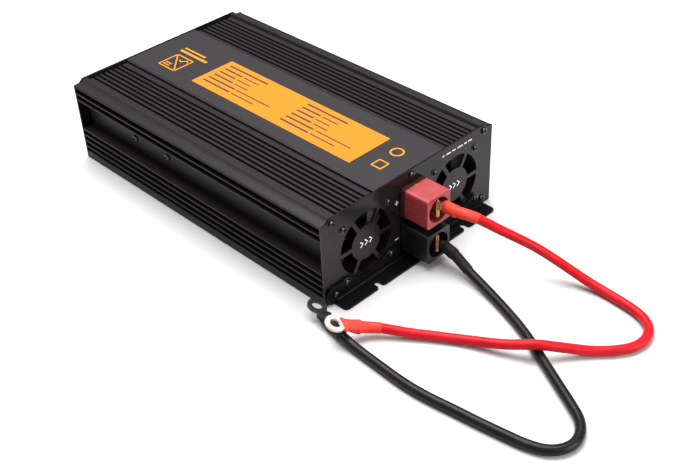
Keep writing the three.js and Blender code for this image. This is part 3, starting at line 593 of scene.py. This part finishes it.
def lug_shape(lift):
    """A ring lug: a stamped ring and neck, and a barrel crimped at two places."""
    outline = arc(0, 0, LUG_RING, -52, 232, 40)
    outline += [(-4.4, -8.2), (-3.5, -10.4), (-3.2, -13), (3.2, -13), (3.5, -10.4), (4.4, -8.2)]
    palm = prism([outline, ring(0, 0, LUG_HOLE, 40)], -LUG_THICK / 2, LUG_THICK / 2, "z")
    hinge = Matrix.Translation((0, -BARREL_START, 0))
    moved(palm, hinge @ Matrix.Rotation(lift, 4, "X") @ hinge.inverted())
    profile = [(0, BARREL_START), (3.3, BARREL_START), (BARREL_RADIUS, BARREL_START + 0.8)]
    profile += [(BARREL_RADIUS, 15), (3.4, 16), (3.4, 18), (BARREL_RADIUS, 19)]
    profile += [(BARREL_RADIUS, BARREL_END - 0.4), (3.6, BARREL_END), (0, BARREL_END)]
    barrel = moved(lathe(profile, 32), facing((0, -1, 0), (0, 0, -BARREL_DROP)))
    return merged(palm, barrel)


def cable(name, path, finish):
    """A lead's cable, as one open curve."""
    curve = bpy.data.curves.new(name, "CURVE")
    curve.dimensions = "3D"
    curve.bevel_depth = CABLE_SKIN * MM
    curve.bevel_resolution = 8
    curve.use_fill_caps = True
    spline = curve.splines.new("POLY")
    spline.points.add(len(path) - 1)
    for point, place in zip(spline.points, path):
        point.co = (*(TO_ROW @ place), 1)
    spline.use_smooth = True
    curve.materials.append(LOOKS[finish])
    obj = bpy.data.objects.new(f"{name}_look", curve)
    bpy.context.collection.objects.link(obj)
    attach(obj, "root")
    return obj


def sleeve(name, path, profile, up, look, from_end=False):
    """A heat-shrink sleeve over a lug's barrel and the cable's end."""
    low, high = profile[0][0], profile[-1][0]
    count = int(high - low) * 2 + 1
    route = list(reversed(path)) if from_end else path
    points = stretch(route, low, high, count)
    sizes = [between(profile, low + (high - low) * i / (count - 1)) for i in range(count)]
    return piece(name, sleeve_shape(points, sizes, up), LOOKS[look], replaces=name, bevel=0.15)


def lead(colour, terminal, route, tilt, lift, far, lug_finish):
    near_along = Vector((0, turn(tilt)[0], turn(tilt)[1]))
    near_up = Vector((-1, 0, 0))
    ring_centre = Vector((LUG_X, BOLT_Y, TERMINAL_Z[terminal]))
    near_end = ring_centre - near_along * BARREL_END - near_up * BARREL_DROP
    far_end, far_along, far_up = (Vector(values) for values in far)
    far_along.normalize()
    far_up = (far_up - far_along * far_up.dot(far_along)).normalized()
    middle = [near_end - near_along * 2, *(Vector(p) for p in route), far_end - far_along * 2]
    path = smooth_path([near_end, *middle, far_end])
    total = distances(path)[-1]
    name = f"{colour}_cable"
    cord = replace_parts(cable(name, stretch(path, GAP, total - GAP, 260), name), name)
    whole = smooth_path([near_end + near_along * 8, near_end, *middle, far_end, far_end + far_along * 9])
    look = f"{colour}_sleeve"
    parts = [
        sleeve(f"{colour}_near_sleeve", whole, NEAR_SLEEVE, near_up, look),
        sleeve(f"{colour}_far_sleeve", whole, FAR_SLEEVES[colour], far_up, look, from_end=True),
    ]
    far_centre = far_end + far_along * BARREL_END + far_up * BARREL_DROP
    places = {"near": (0, ring_centre, near_along, near_up), "far": (lift, far_centre, far_along, far_up)}
    for place, (hinge, centre, along, up) in places.items():
        shape = moved(lug_shape(hinge), lug_place(centre, along, up))
        node = f"{colour}_{place}_lug"
        parts.append(piece(node, shape, LOOKS[lug_finish], replaces=node, bevel=0.35))
    exit_point = TO_ROW @ stretch(path, GAP, total, 2)[0]


for lead_colour, facts in LEADS.items():
    lead(
        lead_colour, facts["terminal"], facts["route"], facts["tilt"], facts["lift"], facts["far"],
        facts["lug"],
    )


# ---------------------------------------------------------------- case
def fin_comb(levels):
    """The outline of one side's fins, from the top one down."""
    points = []
    for z in levels:
        points += [(SIDE_WALL, z + FIN_THICK / 2), (HALF_WIDTH, z + FIN_THICK / 2)]
        points += [(HALF_WIDTH, z - FIN_THICK / 2), (SIDE_WALL, z - FIN_THICK / 2)]
    return points


def lid_outline():
    grooves = []
    for i in range(GROOVE_COUNT):
        left = GROOVE_FIRST + i * GROOVE_PITCH - GROOVE_WIDTH / 2
        right = left + GROOVE_WIDTH
        grooves += [(left, DECK_TOP), (left, GROOVE_FLOOR), (right, GROOVE_FLOOR), (right, DECK_TOP)]
    return mirrored([
        (PLATEAU_HALF - 1.9, PLATEAU_TOP), (PLATEAU_HALF, PLATEAU_TOP - 0.8), (PLATEAU_HALF, DECK_TOP),
        *grooves,
        (84.9, DECK_TOP), (86.3, 80.2), (89.8, 80.2), (94, DECK_TOP),
        (HALF_WIDTH - 0.8, 76.4), (HALF_WIDTH, 75.6), (HALF_WIDTH, 74.6), (SIDE_WALL, 74.6),
        *fin_comb(LID_FINS),
        (SIDE_WALL, SEAM_Z + GAP), (INNER_WALL, SEAM_Z + GAP), (INNER_WALL, 66), (INNER_WALL - 3, 69),
    ])


def base_outline():
    return mirrored([
        (INNER_WALL, 3), (INNER_WALL, SEAM_Z), (SIDE_WALL, SEAM_Z),
        *fin_comb(BASE_FINS),
        (SIDE_WALL, 7.7), (HALF_WIDTH, 7.7), (HALF_WIDTH, 0.8), (HALF_WIDTH - 0.8, 0),
    ])


def coat_raised_panel(lid):
    """The raised panel has a coat that is a shade lighter than the bare metal beside it."""
    lid.data.materials.append(LOOKS["lid_panel"])
    for face in lid.data.polygons:
        if face.center.z > (PLATEAU_TOP - 0.1) * MM and abs(face.center.x) < PLATEAU_HALF * MM:
            face.material_index = 1


def make_case():
    shells = {}
    for name, outline in (("case_top", lid_outline()), ("case_base", base_outline())):
        shape = prism([outline], CASE_START, CASE_END)
        look = LOOKS["anodised_case"]
        shells[name] = piece(name, shape, look, replaces=name, bevel=0.22)
    coat_raised_panel(shells["case_top"])


make_case()


# ---------------------------------------------------------------- end plates
def plate_outline():
    return mirrored([(90, PLATE_TOP), (94, 76.9), (HALF_WIDTH, 76.4), (HALF_WIDTH, 0)])


def grille_windows(centre):
    """Six openings round a disc, parted by straight spokes."""
    step = 360 / SPOKE_COUNT
    windows = []
    for i in range(SPOKE_COUNT):
        outer = math.degrees(math.asin(SPOKE_WIDTH / 2 / FAN_BORE))
        inner = math.degrees(math.asin(SPOKE_WIDTH / 2 / HUB_RADIUS))
        start, end = i * step, (i + 1) * step
        rim = arc(centre, FAN_Z, FAN_BORE, start + outer, end - outer, 20)
        windows.append(rim + arc(centre, FAN_Z, HUB_RADIUS, end - inner, start + inner, 14))
    return windows


def make_front_plate():
    loops = [plate_outline(), *grille_windows(-FAN_X), *grille_windows(FAN_X)]
    for z in TERMINAL_Z.values():
        loops.append(rectangle(BAR_X - 2.9, BAR_X + 2.9, z - 10.8, z + 10.8))
    shape = prism(loops, 0, PLATE)
    piece("front_plate", shape, LOOKS["painted_plate"], replaces="front_plate", bevel=0.25)


def make_rear_plate():
    loops = [plate_outline(), rectangle(SWITCH_X - 8.2, SWITCH_X + 8.2, SWITCH_Z - 11.4, SWITCH_Z + 11.4)]
    loops += [ring(x, SOCKET_Z, 22.1, 64) for x in SOCKETS.values()]
    loops += [ring(x, LAMP_Z, 3.1, 24) for x in LAMPS.values()]
    loops.append(ring(GROUND_X, GROUND_Z, 3.1, 24))
    for i in range(7):
        loops.append(rounded(1.2, 13, 1.15, -87 + i * 5, 52, 5))
    shape = prism(loops, LENGTH - PLATE, LENGTH)
    piece("rear_plate", shape, LOOKS["painted_plate"], replaces="rear_plate", bevel=0.25)


make_front_plate()
make_rear_plate()


# ---------------------------------------------------------------- screws
def screw_head(radius, height):
    """A domed head with a cross recess, standing on z = 0."""
    profile = [(0, 0), (radius * 0.94, 0), (radius, height * 0.18), (radius * 0.98, height * 0.42)]
    for angle in (25, 42, 58, 74):
        profile.append((radius * turn(angle)[0], height * (0.42 + 0.58 * turn(angle)[1])))
    head = lathe([*profile, (0, height)], 40)
    half, reach, deep = radius * 0.15, radius * 0.58, height * 0.35
    cross = [
        block(-reach, reach, -half, half, deep, height + 1),
        block(-half, half, -reach, reach, deep, height + 1),
    ]
    return combined(head, cross)


def washer(radius, thickness):
    rim = [(radius, 0), (radius, thickness * 0.6), (radius - 0.3, thickness)]
    return lathe([(0, 0), *rim, (0, thickness)], 40)


def screw(name, place, direction, radius=3.1, height=2.1, ring_radius=0.0, replaces=()):
    shape = screw_head(radius, height)
    if ring_radius:
        shape = merged(washer(ring_radius, 0.45), moved(shape, Matrix.Translation((0, 0, 0.4))))
    moved(shape, facing(direction, place))
    piece(name, shape, LOOKS["black_screw"], replaces=replaces, bevel=0.08, segments=1)


def make_plate_screws():
    for name, (x, z) in PLATE_SCREWS.items():
        y = -GAP - SHEET - 0.3 if name == "bottom_left" else 0
        node = f"plate_screw_{name}"
        screw(node, (x, y, z), (0, -1, 0), replaces=node)
        if name != "bottom_left":
            screw(f"rear_screw_{name}", (x, LENGTH, z), (0, 1, 0))


def make_fan_screws():
    for side, centre in (("left", -FAN_X), ("right", FAN_X)):
        for level, dz in (("low", -FAN_SCREW), ("high", FAN_SCREW)):
            y = -GAP - SHEET if level == "low" else 0
            for place, dx in (("outer", -FAN_SCREW), ("inner", FAN_SCREW)):
                name = f"{side}_fan_screw_{level}_{place}"
                screw(name, (centre + dx, y, FAN_Z + dz), (0, -1, 0), 2.9, 2.0, ring_radius=3.9)


def make_side_screws():
    for side, name in ((-1, "left"), (1, "right")):
        for place, y in SIDE_SCREW_Y.items():
            node = f"{name}_side_screw_{place}"
            seat = (side * (SIDE_WALL + 0.05), y, SIDE_SCREW_Z)
            screw(node, seat, (side, 0, 0), 3.5, 1.9, replaces=node)


make_plate_screws()
make_fan_screws()
make_side_screws()


# ---------------------------------------------------------------- feet
def flange_outline(left, right):
    """A strip with round outer corners and two open slots with flared mouths."""
    points = [(left, -GAP), *arc(left + 4, -FOOT_REACH + 4, 4, 180, 270, 8)]
    for x in (-SLOT_X, SLOT_X):
        points += arc(x - SLOT_HALF - 2.5, -FOOT_REACH + 2.5, 2.5, -90, 0, 6)
        points += arc(x, -8 - SLOT_HALF, SLOT_HALF, 180, 0, 14)
        points += arc(x + SLOT_HALF + 2.5, -FOOT_REACH + 2.5, 2.5, 180, 270, 6)
    return points + [*arc(right - 4, -FOOT_REACH + 4, 4, -90, 0, 8), (right, -GAP)]


def front_leg_outline():
    """The upright leg, hollowed round both fans and round the lower terminal."""
    clearance = FAN_BORE + 1.6
    reach = math.sqrt(clearance ** 2 - (FAN_Z - FOOT_LEG) ** 2)
    angle = math.degrees(math.atan2(FOOT_LEG - FAN_Z, reach))
    points = [(-92, 0), (90, 0), (90, 2.4), (82.7, 6.8)]
    points += arc(FAN_X, FAN_Z, clearance, angle, -180 - angle, 30)
    points += [(18.5, FOOT_LEG), (15.6, 12), (15.6, 5.4), (-15.6, 5.4), (-15.6, 12), (-18.5, FOOT_LEG)]
    points += arc(-FAN_X, FAN_Z, clearance, angle, -180 - angle, 30)
    points += arc(-93, FOOT_LEG - 6, 6, 90, 180, 8)
    return points + arc(-92, 7, 7, 180, 270, 8)[:-1]


def fillet(left, right):
    """The inside of the bend between leg and flange, as a concave strip."""
    corner_y, corner_z, radius = -GAP - SHEET, SHEET, 1.2
    curve = arc(corner_y - radius, corner_z + radius, radius, -90, 0, 8)
    inside = [(corner_y + 0.4, corner_z + radius), (corner_y + 0.4, corner_z - 0.4)]
    return prism([curve + inside + [(corner_y - radius, corner_z - 0.4)]], left, right, "x")


def make_feet():
    front = merged(
        prism([front_leg_outline()], -GAP - SHEET, -GAP),
        prism([flange_outline(-92, 90)], 0, SHEET, "z"),
        fillet(-88, 88),
    )
    piece("front_foot", front, LOOKS["black_sheet"], replaces="front_foot", bevel=0.25)
    rear = merged(
        prism([rounded(92, 6, 3, 0, 6)], -GAP - SHEET, -GAP),
        prism([rectangle(-92, 92, 0, 4)], -GAP - SHEET, -GAP),
        prism([flange_outline(-92, 92)], 0, SHEET, "z"),
        fillet(-90, 90),
    )
    moved(rear, Matrix.Translation((0, LENGTH, 0)) @ Matrix.Rotation(math.pi, 4, "Z"))
    piece("rear_foot", rear, LOOKS["black_sheet"], replaces="rear_foot", bevel=0.25)


make_feet()


# ---------------------------------------------------------------- fans
def fan_frame_shape():
    """Two square flanges with screw holes, a round shroud, and a motor seat on four struts."""
    holes = [ring(sx * FAN_SCREW, sz * FAN_SCREW, 2.2, 20) for sx in (-1, 1) for sz in (-1, 1)]
    bore = ring(0, 0, FAN_BORE, 72)
    flanges = [prism([rounded(30, 30, 4), bore, *holes], y, y + 3.5) for y in (0, FAN_DEPTH - 3.5)]
    shroud = prism([ring(0, 0, 29.8, 72), bore], 3.4, FAN_DEPTH - 3.4)
    struts = []
    for i in range(4):
        strut = block(8, FAN_BORE + 0.6, FAN_DEPTH - 3, FAN_DEPTH - 0.2, -1.5, 1.5)
        struts.append(moved(strut, Matrix.Rotation(math.radians(45 + 90 * i), 4, "Y")))
    seat = rod(12.6, FAN_DEPTH - 3.4, FAN_DEPTH, 0, 0)
    return merged(*flanges, shroud, *struts, seat)


def blade_shape():
    """One curved blade, twisted more at its root than at its tip."""
    rows, columns, thick = 9, 9, 1.1
    grid = []
    for row in range(rows):
        radius = 11.8 + (FAN_BORE - 1.2 - 11.8) * row / (rows - 1)
        pitch = 52 - 20 * row / (rows - 1)
        line = []
        for column in range(columns):
            chord = (column / (columns - 1) - 0.5) * 15.5
            camber = 1.6 * (1 - (2 * chord / 15.5) ** 2)
            sideways = chord * turn(pitch)[0] - camber * turn(pitch)[1]
            depth = 12 + chord * turn(pitch)[1] + camber * turn(pitch)[0]
            angle = sideways / radius + 0.012 * (radius - 12)
            line.append(Vector((radius * math.cos(angle), depth, radius * math.sin(angle))))
        grid.append(line)
    bm = bmesh.new()
    corners = [[bm.verts.new(point) for point in line] for line in grid]
    for a, b in zip(corners, corners[1:]):
        for i in range(columns - 1):
            bm.faces.new((a[i], a[i + 1], b[i + 1], b[i]))
    bmesh.ops.recalc_face_normals(bm, faces=bm.faces)
    bmesh.ops.solidify(bm, geom=bm.faces[:], thickness=thick)
    return bm


def rotor_shape():
    profile = [(0, 3.2), (8.4, 3.2), (8.6, 3.5), (10.6, 3.5), (12.0, 4.0), (12.4, 5.2), (12.4, 20.4)]
    hub = moved(lathe([*profile, (0, 20.4)], 64), Matrix.Rotation(-math.pi / 2, 4, "X"))
    blades = []
    for i in range(BLADE_COUNT):
        blades.append(moved(blade_shape(), Matrix.Rotation(2 * math.pi * i / BLADE_COUNT, 4, "Y")))
    return merged(hub, *blades)


def make_fans():
    for side, name in ((-1, "left"), (1, "right")):
        place = Matrix.Translation((side * FAN_X, CASE_START, FAN_Z))
        look = LOOKS["black_plastic"]
        node = f"{name}_fan_frame"
        piece(node, moved(fan_frame_shape(), place), look, replaces=node, bevel=0.3)
        node = f"{name}_fan_rotor"
        turned = place @ Matrix.Rotation(side * 0.3, 4, "Y")
        shape = moved(rotor_shape(), turned)
        piece(node, shape, look, f"{name}_rotor", replaces=node, bevel=0.2)


make_fans()


# ---------------------------------------------------------------- battery terminals
def bar_slot(z):
    """The opening that a terminal bar comes through."""
    return BAR_X - 2.4, BAR_X + 2.4, z - 10.2, z + 10.2


def hood_shape(z):
    """A soft box with a round mouth and two slits in each side."""
    shell = prism([rounded(HOOD_HALF, HOOD_HALF, 2.4, 0, z, 8)], -HOOD_REACH, -COLLAR_DEPTH - GAP)
    cutters = [
        rod(HOOD_BORE, -HOOD_REACH - 1, -COLLAR_DEPTH - 2.3, 0, z, sides=72),
        block(*bar_slot(z)[:2], -HOOD_REACH + 5, 0, *bar_slot(z)[2:]),
    ]
    for side in (-1, 1):
        for dz in (-5.5, 6.4):
            inner, outer = sorted((side * (HOOD_HALF - 1.2), side * (HOOD_HALF + 1)))
            cutters.append(block(inner, outer, -14.9, 0, z + dz - 0.4, z + dz + 0.4))
    return combined(shell, cutters)


def collar_shape(z):
    half = HOOD_HALF + 0.5
    outline = rounded(half, half, 3, 0, z, 8)
    return prism([outline, rectangle(*bar_slot(z))], -COLLAR_DEPTH, -GAP)


def bar_shape(z):
    """The terminal's bar: a stack of three thin plates that the bolt holds together."""
    half = BAR_HEIGHT / 2
    plates = []
    for dx, thick, tip in ((-1.5, 0.65, -28.2), (-0.6, 0.7, -28.4), (0.35, 1.15, -25)):
        outline = [(42, z + half), (tip + 1.4, z + half), (tip, z + half - 1.4)]
        outline += [(tip, z - half + 1.4), (tip + 1.4, z - half), (42, z - half)]
        hole = ring(BOLT_Y, z, LUG_HOLE, 32)
        plates.append(prism([outline, hole], BAR_X + dx, BAR_X + dx + thick, "x"))
    clamp = block(BAR_X - 2.5, BAR_X - 1.75, -27.6, -21.4, z - 7.6, z + 7.6)
    return merged(*plates, clamp)


def bolt_shape(z):
    head = rod(5.8, BAR_X - 5.8, BAR_X - 1.9, BOLT_Y, z, "x", 6)
    disc = rod(6.4, BAR_X - 1.9, BAR_X - 1.55, BOLT_Y, z, "x", 40)
    shank = rod(3.7, BAR_X - 3, LUG_X + 3, BOLT_Y, z, "x", 32)
    nut = rod(5.8, LUG_X + 1.4, LUG_X + 5.3, BOLT_Y, z, "x", 6)
    return merged(head, disc, shank, nut)


def make_terminals():
    finishes = {
        # The positive collar's dark red material is a dark collar with painted reflection of the red hood in
        # its tint.
        "positive": ("red_plastic", "dark_red_plastic", "brass"),
        "negative": ("black_plastic", "black_plastic", "copper"),
    }
    for name, z in TERMINAL_Z.items():
        hood, collar, bar = finishes[name]
        shapes = {
            "hood": (hood_shape(z), hood, hood, 0.5),
            "collar": (collar_shape(z), collar, collar, 0.4),
            "bar": (bar_shape(z), bar, "brass", 0.12),
            "bolt": (bolt_shape(z), "zinc_steel", "zinc_steel", 0.3),
        }
        for part, (shape, look, slot, bevel) in shapes.items():
            node = f"{name}_{part}"
            piece(node, shape, LOOKS[look], replaces=node, bevel=bevel)
    tab = block(-0.6, 0.6, -5.4, -4.1, 68.3, 68.8)
    piece("positive_spring_tab", tab, LOOKS["brass"], bevel=0.1)


make_terminals()


# ---------------------------------------------------------------- mains side
def socket_shape(x):
    """A round recess behind a square face, with two pin holes, an earth pin and guide ribs."""
    face = LENGTH + GAP
    bore, outside = (ring(x, SOCKET_Z, radius, 72) for radius in (SOCKET_BORE, SOCKET_RADIUS))
    flange = prism([rounded(25, 25, 3.5, x, SOCKET_Z), bore], face, face + 2.6)
    wall = prism([outside, bore], face - 15.2, face + 0.4)
    holes = [ring(x + dx, SOCKET_Z, 2.7, 24) for dx in (-9.5, 9.5)]
    floor = prism([outside, *holes], face - 17, face - 15)
    back = rod(SOCKET_RADIUS, face - 24, face - 20, x, SOCKET_Z, sides=72)
    tip = [(0, 14.6), (1.4, 14.4), (2.3, 13.2), (2.4, 0), (0, 0)]
    earth = moved(lathe(tip[::-1], 24), facing((0, 1, 0), (x, face - 15.6, SOCKET_Z + 10)))
    ribs = [block(x + s * 19 - 1.5, x + s * 19 + 1.5, face - 15, face - 3, SOCKET_Z - 2, SOCKET_Z + 2)
            for s in (-1, 1)]
    return merged(flange, wall, floor, back, earth, *ribs)


def rocker_shape():
    """A rocker with a dished face, tilted to one end."""
    face = [(4.4 - 1.6 * (1 - (z / 8.6) ** 2), z) for z in (-8.6, -6, -3, 0, 3, 6, 8.6)]
    outline = face + [(0, 8.8), (-5, 3), (-5, -3), (0, -8.8)]
    shape = prism([outline], -6.4, 6.4, "x")
    place = Matrix.Translation((SWITCH_X, LENGTH - 0.6, SWITCH_Z))
    return moved(shape, place @ Matrix.Rotation(math.radians(SWITCH_TILT), 4, "X"))


def make_switch():
    outer = rounded(9.2, 12.6, 1.5, SWITCH_X, SWITCH_Z)
    well = rectangle(SWITCH_X - 6.8, SWITCH_X + 6.8, SWITCH_Z - 10.1, SWITCH_Z + 10.1)
    wall = rectangle(SWITCH_X - 7.8, SWITCH_X + 7.8, SWITCH_Z - 11, SWITCH_Z + 11)
    housing = merged(
        prism([outer, well], LENGTH + GAP, LENGTH + 2.3),
        prism([wall, well], LENGTH - 15, LENGTH + 0.4),
        prism([wall], LENGTH - 18, LENGTH - 15),
    )
    look = LOOKS["black_plastic"]
    piece("switch_housing", housing, look, replaces="switch_housing", bevel=0.35)
    piece("power_rocker", rocker_shape(), look, "rocker", replaces="power_rocker", bevel=0.4)


def make_lamps():
    for (name, x), colour in zip(LAMPS.items(), ("green_lens", "red_lens")):
        profile = [(0, -5), (2.5, -5), (2.5, 0.4), (2.4, 1.1), (2.0, 1.9), (1.2, 2.6), (0, 3)]
        shape = moved(lathe(profile, 40), facing((0, 1, 0), (x, LENGTH, LAMP_Z)))
        piece(name, shape, LOOKS[colour], replaces=name)


def make_ground_stud():
    threads = []
    for i in range(15):
        threads += [(2.4, 5.5 + i * 0.36), (2.15, 5.68 + i * 0.36)]
    stud = lathe([(0, -6), (2.4, -6), *threads, (1.8, 11), (0, 11)], 32)
    disc = moved(washer(5.5, 1.2), Matrix.Translation((0, 0, GAP)))
    nut = prism([ring(0, 0, 4.6, 6)], 1.5, 5.4, "z")
    shape = moved(merged(stud, disc, nut), facing((0, 1, 0), (GROUND_X, LENGTH, GROUND_Z)))
    piece("ground_stud", shape, LOOKS["brass"], replaces="ground_stud", bevel=0.12, segments=1)


def make_mains_side():
    for name, x in SOCKETS.items():
        look = LOOKS["black_plastic"]
        piece(name, socket_shape(x), look, replaces=name, bevel=0.35)
    make_switch()
    make_lamps()
    make_ground_stud()


make_mains_side()


# ---------------------------------------------------------------- prints
def band(points, width):
    """The outline of a line of even width through the points."""
    sides = ([], [])
    for i, (x, y) in enumerate(points):
        ax, ay = points[max(i - 1, 0)]
        bx, by = points[min(i + 1, len(points) - 1)]
        size = math.hypot(bx - ax, by - ay)
        nx, ny = -(by - ay) / size * width / 2, (bx - ax) / size * width / 2
        sides[0].append((x + nx, y + ny))
        sides[1].append((x - nx, y - ny))
    return sides[0] + sides[1][::-1]


def print_on(name, outlines, look, low, high, axis):
    """Ink on a surface. Each outline is a list of loops."""
    shape = merged(*(prism(loops, low, high, axis) for loops in outlines))
    piece(name, shape, LOOKS[look])


def label_lines():
    """Plain bars in the place of printed lines, in two blocks."""
    bars = []
    lengths = ((52, 0), (24, 20), (22, 18), (26, 18), (36, 44), (36, 30))
    for y_start, scale in ((240, 1.0), (136, 0.95)):
        for row, (first, second) in enumerate(lengths):
            x = 15.2 - row * 6.4
            bars.append([rectangle(x - 1.15, x + 1.15, y_start - first * scale, y_start)])
            if second:
                y = y_start - first * scale - 2.4
                bars.append([rectangle(x - 0.8, x + 0.8, y - second * scale, y)])
    return bars


def converter_sign(cx, cy, half):
    """A square with a diagonal, two bars for direct and a wave for alternating current."""
    frame_line = [rounded(half, half, 1.5, cx, cy, 4), rounded(half - 1.4, half - 1.4, 0.6, cx, cy, 4)]
    diagonal = [band([(cx - half + 0.8, cy - half + 0.8), (cx + half - 0.8, cy + half - 0.8)], 1.3)]
    bars = [[rectangle(cx + dx, cx + dx + 1.4, cy + 0.5, cy + 9)] for dx in (-8.5, -5.2)]
    wave = [(cx + 6 + 2.2 * turn(a)[1], cy - 9 + 10 * a / 360) for a in range(0, 361, 20)]
    return [frame_line, diagonal, *bars, [band(wave, 1.4)]]


def make_top_prints():
    below = PLATEAU_TOP - 0.05
    print_on("label", [[rounded(24, 101, 0.6, -2, 145, 3)]], "label", below, PLATEAU_TOP + 0.1, "z")
    print_on("label_lines", label_lines(), "label_ink", PLATEAU_TOP + 0.08, PLATEAU_TOP + 0.14, "z")
    marks = converter_sign(-14, 284, 12)
    marks.append([rectangle(3, 6, 262, 300)])
    marks.append([rectangle(9, 11, 270, 300)])
    marks.append([ring(11, 26, 6.2, 40), ring(11, 26, 4.6, 40)])
    marks.append([rounded(5.6, 5.6, 1, -11, 24, 4), rounded(4.2, 4.2, 0.5, -11, 24, 4)])
    print_on("orange_marks", marks, "golden_ink", below, PLATEAU_TOP + 0.08, "z")


def make_front_prints():
    marks = [
        [rectangle(-20, -15.6, 56.4, 57.2)],
        [rectangle(-18.2, -17.4, 54.6, 59)],
        [rectangle(-20.1, -15.7, 21, 21.8)],
    ]
    for x, width in ((37, 2.4), (42, 5), (49, 4), (55.5, 6.5), (64, 3.2), (69, 4.4)):
        marks.append([rectangle(x, x + width, 73.3, 74.4)])
    for centre in (-FAN_X, FAN_X):
        for dx in (-5, 0, 5):
            tail, tip = centre + dx - 1.6, centre + dx + 1.2
            marks.append([band([(tail, FAN_Z - 2.6), (tip, FAN_Z), (tail, FAN_Z + 2.6)], 1.1)])
    print_on("white_marks", marks, "white_ink", -0.08, 0.05, "y")


make_top_prints()
make_front_prints()


# ---------------------------------------------------------------- inside
def dress_inner_nodes():
    """The plain pieces inside the case keep their CAD shapes and take their materials."""
    slots = {entry["node"]: entry["material_slot"] for entry in frame["record"]["subparts"]}
    for name, obj in frame["nodes"].items():
        if not obj.hide_render:
            obj.data.materials.clear()
            obj.data.materials.append(LOOKS[slots[name]])


dress_inner_nodes()


# ---------------------------------------------------------------- floor and light
def make_floor():
    shape = prism([rectangle(-6, 6, -6, 6)], -0.02, -0.0004, "z")
    mesh = as_mesh("floor", shape)
    finish = Finish("floor")
    finish.colour(finish.noise(400), (0.54, 0.54, 0.54), (0.56, 0.56, 0.56))
    finish.roughness(finish.noise(40), 0.85, 0.95)
    mesh.materials.append(finish.material)
    floor = bpy.data.objects.new("floor", mesh)
    bpy.context.collection.objects.link(floor)


def area_light(name, place, target, size, power):
    data = bpy.data.lights.new(name, "AREA")
    data.shape = "RECTANGLE"
    data.size, data.size_y = size
    data.energy = power
    light = bpy.data.objects.new(name, data)
    aim = (Vector(place) - Vector(target)).to_track_quat("Z", "Y").to_matrix().to_4x4()
    light.matrix_world = Matrix.Translation(place) @ aim
    bpy.context.collection.objects.link(light)


def make_light():
    world = bpy.data.worlds.new("studio")
    world.use_nodes = True
    nodes, links = world.node_tree.nodes, world.node_tree.links
    background = nodes["Background"]
    direction = nodes.new("ShaderNodeTexCoord")
    height = nodes.new("ShaderNodeSeparateXYZ")
    ramp = nodes.new("ShaderNodeValToRGB")
    ramp.color_ramp.elements[0].position = 0.45
    ramp.color_ramp.elements[1].position = 1.0
    ramp.color_ramp.elements[0].color = (0.04, 0.04, 0.04, 1)
    ramp.color_ramp.elements[1].color = (1, 1, 1, 1)
    links.new(direction.outputs["Generated"], height.inputs["Vector"])
    links.new(height.outputs["Z"], ramp.inputs["Fac"])
    links.new(ramp.outputs["Color"], background.inputs["Color"])
    background.inputs["Strength"].default_value = 0.9
    bpy.context.scene.world = world
    bpy.context.scene.view_settings.view_transform = "Standard"
    area_light("overhead", (0.1, 0.3, 1.7), (0, 0, 0), (1.5, 1.5), 76)
    area_light("front", (0.4, -1.9, 0.7), (0, -0.1, 0.05), (1.2, 1.2), 34)


make_floor()
make_light()
